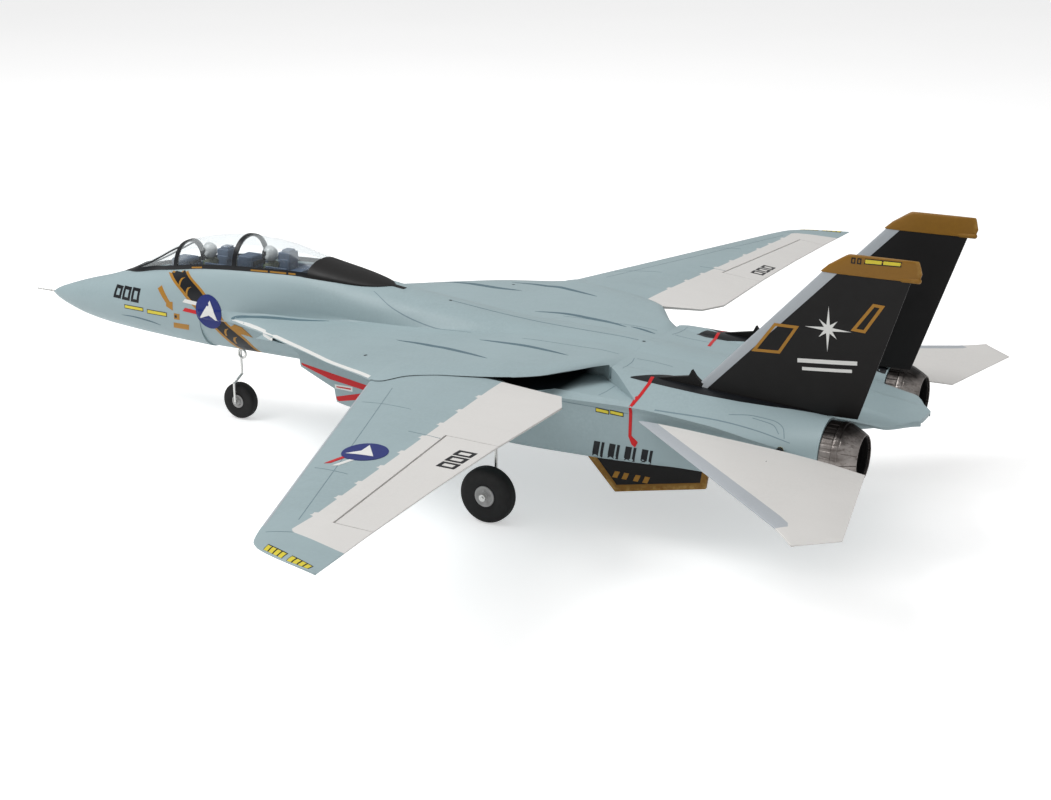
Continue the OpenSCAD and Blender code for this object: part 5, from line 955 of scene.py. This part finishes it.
for y in (352.6, 372.0):
    film(A, M_FBLACK, SL, [(y - 0.8, 169.2), (y + 17.6, 168.4), (y + 17.6, 174.2), (y - 0.8, 175.2)], "port", T_BODY, 0); film(A, M_YELLOW, SL, [(y, 170.4), (y + 16.6, 169.6), (y + 16.6, 173.0), (y, 174.0)], "port", T_BODY, 2)
for y in (345, 366, 388, 410):
    film(A, M_FBLACK, SL, [(y, 106), (y + 8.4, 106), (y + 13.4, 131), (y + 5, 131)], "port", T_BODY, 0); film(A, M_FBLACK, SL, [(y + 10.6, 106), (y + 14.4, 106), (y + 19.4, 131), (y + 15.6, 131)], "port", T_BODY, 0)
# panel lines on the nacelles and deck
for p in ([(150, 517), (143.6, 545), (144.6, 570), (152, 586), (163, 592)], [(147, 546), (150.5, 572), (160, 584)], [(60, 352), (80, 356), (104, 356)], [(118, 352), (140, 352), (160, 350)], [(60, 356), (58, 380), (60, 405)],
          [(0.5, 40), (0.5, 180), (0.5, 330)], [(30, -60), (45, -20), (52, 40), (56, 110)], [(60, 330), (60, 260), (60, 190)]):
    film(A, M_LINE, SL, band(curve(p, 16), 0.9), "top", T_BODY, 0, 5.0)
for p in ([(430, 183.5), (500, 181), (560, 175), (600, 168)], [(300, 176), (360, 175), (396, 173.6)]):
    film(A, M_LINE, SL, band(curve(p, 20), 0.8), "port", T_BODY, 0, 4.0)

# wings: badge (port wing only), hollow number blocks, dashes at the tip, panel lines
badge("left_wing", "foam", (503.0, 233.0), 26.0, "top", T_WING, -0.34, 1.0, mirror=False)
sl = lambda x0, x1, y0, y1: [(x0, y0), (x1, y0), (x1 - 3, y1), (x0 - 3, y1)]
blocks("left_aileron", M_FBLACK, "foam_white", [sl(441, 457, 316, 337.5), sl(460, 476, 316.8, 338), sl(479, 495, 317.6, 338.5)], 4.2, "top", T_AIL)
for (a, b, c, d), n in ((((750, 284), (760, 285), (769.3, 313.5), (759.5, 314)), 4), (((761, 320), (771, 319.5), (778, 349.5), (770, 350)), 4)):
    film("left_wing", M_FBLACK, "foam", [a, b, c, d], "top", T_WING, 0, 3.0)
    A_, B_, C_, D_ = [np.array(p, float) for p in (a, b, c, d)]
    for i in range(n):
        t0, t1 = (i + 0.13) / n, (i + 0.87) / n; q = [A_ + (D_ - A_) * t0, B_ + (C_ - B_) * t0, B_ + (C_ - B_) * t1, A_ + (D_ - A_) * t1]
        q[0] = q[0] + (q[1] - q[0]) * 0.16; q[3] = q[3] + (q[2] - q[3]) * 0.16; film("left_wing", M_YELLOW, "foam", [tuple(p) for p in q], "top", T_WING, 2, 3.0)
for p in ([(726, 263), (718, 291)], [(352, 130), (356, 165), (361, 204)], [(424.7, 240), (424.7, 286)], [(560, 206), (566, 252)], [(300, 140), (480, 204), (690, 277)]):
    film("left_wing", M_LINE, "foam", band(curve(p, 12), 0.9), "top", T_WING, 0, 5.0)

# fins: plain compass rose, outlined blocks, dashes and rings on the cap
C0 = (624.0, 298.0)
rose = []
for i in range(16):
    r = 28 if i % 4 == 0 else (15.5 if i % 4 == 2 else 5.4); t = math.pi * i / 8 + math.pi / 2; rose.append((C0[0] + r * math.cos(t), C0[1] + r * math.sin(t)))
film(A, M_FWHITE, SL, rose, "port", T_FIN, 0, 4.0)
film(A, M_FWHITE, SL, [(588, 252), (660, 258), (660, 263), (588, 257)], "port", T_FIN, 0); film(A, M_FWHITE, SL, [(594, 243), (654, 248), (654, 252), (594, 247)], "port", T_FIN, 0)
blocks(A, M_FGOLD, SL, [[(530, 257.5), (566, 259.5), (589, 297), (558, 296.6)], [(651, 300), (668, 298.8), (690, 334.6), (676, 335.6)]], 3.6, "port", T_FIN)
film(A, M_FBLACK, SL, [(664, 381.4), (706.6, 382.6), (707.4, 388.6), (665, 388)], "port", T_CAP, 0)
film(A, M_YELLOW, SL, [(665.2, 382.6), (684, 383.2), (684.4, 387.2), (665.6, 387)], "port", T_CAP, 2); film(A, M_YELLOW, SL, [(686, 383.3), (705.4, 383.8), (706, 387.6), (686.4, 387.3)], "port", T_CAP, 2)
blocks(A, M_FBLACK, SL, [[(648.6, 380.6), (653.6, 380.6), (654, 387.6), (649, 387.6)], [(655.6, 380.6), (660.6, 380.6), (661, 387.6), (656, 387.6)]], 1.4, "port", T_CAP)
for y in (345, 358, 374, 387): film(A, M_FGOLD, SL, [(y, 60), (y + 7, 60), (y + 11, 69), (y + 4, 69)], "port", T_VEN, 0, 4.0)
# painted highlight: a thin pale line along the top of the wing's leading edge
film("left_wing", M_PALE, "foam", [(282, 93.4), (527, 181.9), (712, 249.4), (712, 251.9), (527, 184.4), (282, 95.9)], "top", T_WING, 0, 6.0)
# ochre dashes along the canopy rail
for y0, y1, z0, z1 in ((-372, -352, 236.2, 239.0), (-262, -232, 246.0, 247.6), (-228, -200, 247.8, 248.6), (-196, -184, 248.8, 249.2)):
    film("hatch", M_FGOLD, "foam_black", [(y0, z0 - 1.3), (y1, z1 - 1.3), (y1, z1 + 1.1), (y0, z0 + 1.1)], "port", T_HATCH, 1, 4.0)

SW = lambda b, s: b.replace("left_", "right_") if s < 0 else b
for key, (mat, mir, V, F) in FILMS.items():
    for s in ((1, -1) if mir else (1,)):
        body = SW(key[0], s); n = body + "_" + key[1] + ("" if mir else "_single")
        if key[0] in ("airframe", "hatch") and mir:
            if s < 0: continue
            W = list(V) + [Vector((-v.x, v.y, v.z)) for v in V]; k = len(V); G = [list(f) for f in F] + [[i + k for i in f][::-1] for f in F]
        else:
            W = [Vector((s * v.x, v.y, v.z)) for v in V]; G = [list(f) if s > 0 else list(f)[::-1] for f in F]
        o = make(n, W, G, scale=False); fix_normals(o); o.data.materials.append(mat)
        for p in o.data.polygons: p.use_smooth = False
        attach(o, body)
# ------------------------------------------------------------------ floor, light, camera
fl = make("floor", [(-30, -30, 0), (30, -30, 0), (30, 30, 0), (-30, 30, 0)], [(0, 1, 2, 3)], scale=False); fl.location.z = -0.0006
fm = Mat("studio_floor"); fm.l(fm.mixc(fm.ramp(fm.noise(1.2, 2), 0.3, 0.7), (0.90, 0.90, 0.90, 1), (0.92, 0.92, 0.92, 1)), fm.b.inputs["Base Color"])
fm.b.inputs["Roughness"].default_value = 0.6; fm.b.inputs["Emission Color"].default_value = (1, 1, 1, 1); fm.b.inputs["Emission Strength"].default_value = 0.3; fm.b.inputs["Specular IOR Level"].default_value = 0.2; flp = fm.m.node_tree.nodes.new("ShaderNodeLightPath"); fma = fm.m.node_tree.nodes.new("ShaderNodeMath"); fma.operation = "MULTIPLY_ADD"; fma.inputs[1].default_value = 0.34; fma.inputs[2].default_value = 0.12
fm.m.node_tree.links.new(flp.outputs["Is Camera Ray"], fma.inputs[0]); fm.m.node_tree.links.new(fma.outputs[0], fm.b.inputs["Emission Strength"]); fl.data.materials.append(fm.m)
bpy.context.scene.view_settings.view_transform = "Standard"
world = bpy.data.worlds.new("studio"); bpy.context.scene.world = world; world.use_nodes = True
bg = world.node_tree.nodes["Background"]; bg.inputs["Color"].default_value = (1.0, 1.0, 1.0, 1); bg.inputs["Strength"].default_value = 0.40
wt = world.node_tree; lp = wt.nodes.new("ShaderNodeLightPath"); b2 = wt.nodes.new("ShaderNodeBackground"); b2.inputs["Color"].default_value = (1, 1, 1, 1)
wm = wt.nodes.new("ShaderNodeMixShader"); wt.links.new(lp.outputs["Is Camera Ray"], wm.inputs[0]); wt.links.new(bg.outputs[0], wm.inputs[1]); wt.links.new(b2.outputs[0], wm.inputs[2])
wt.links.new(wm.outputs[0], wt.nodes["World Output"].inputs["Surface"])
def area(name, loc, target, size, power, size_y=None):
    d = bpy.data.lights.new(name, "AREA"); d.energy = power; d.size = size; d.shape = "RECTANGLE"; d.size_y = size_y or size
    o = bpy.data.objects.new(name, d); bpy.context.scene.collection.objects.link(o); o.location = loc
    o.rotation_euler = (Vector(target) - Vector(loc)).to_track_quat("-Z", "Y").to_euler(); return o
area("key", (1.2, -1.8, 3.4), (0, 0, 0.1), 2.2, 96)
area("top", (-0.6, 0.8, 3.8), (0, 0, 0.1), 3.2, 36)
area("fill", (2.8, 2.2, 1.6), (0, 0.1, 0.15), 2.2, 4)
cam = bpy.data.cameras.new("cam"); cam.sensor_width = 36; cam.lens = 36 * 1727.434 / 1051; cam.clip_end = 100
co = bpy.data.objects.new("cam", cam); bpy.context.scene.collection.objects.link(co)
yaw, pitch, roll = -2.650194376, -0.324906795, -0.00308379
fw = Vector((math.cos(pitch) * math.cos(yaw), math.cos(pitch) * math.sin(yaw), math.sin(pitch)))
rt = fw.cross(Vector((0, 0, 1))).normalized(); up = rt.cross(fw)
r2 = rt * math.cos(roll) + up * math.sin(roll); u2 = -rt * math.sin(roll) + up * math.cos(roll)
co.matrix_world = Matrix(((r2.x, u2.x, -fw.x, 1.977605), (r2.y, u2.y, -fw.y, 1.212753), (r2.z, u2.z, -fw.z, 0.8590665), (0, 0, 0, 1)))
bpy.context.scene.camera = co
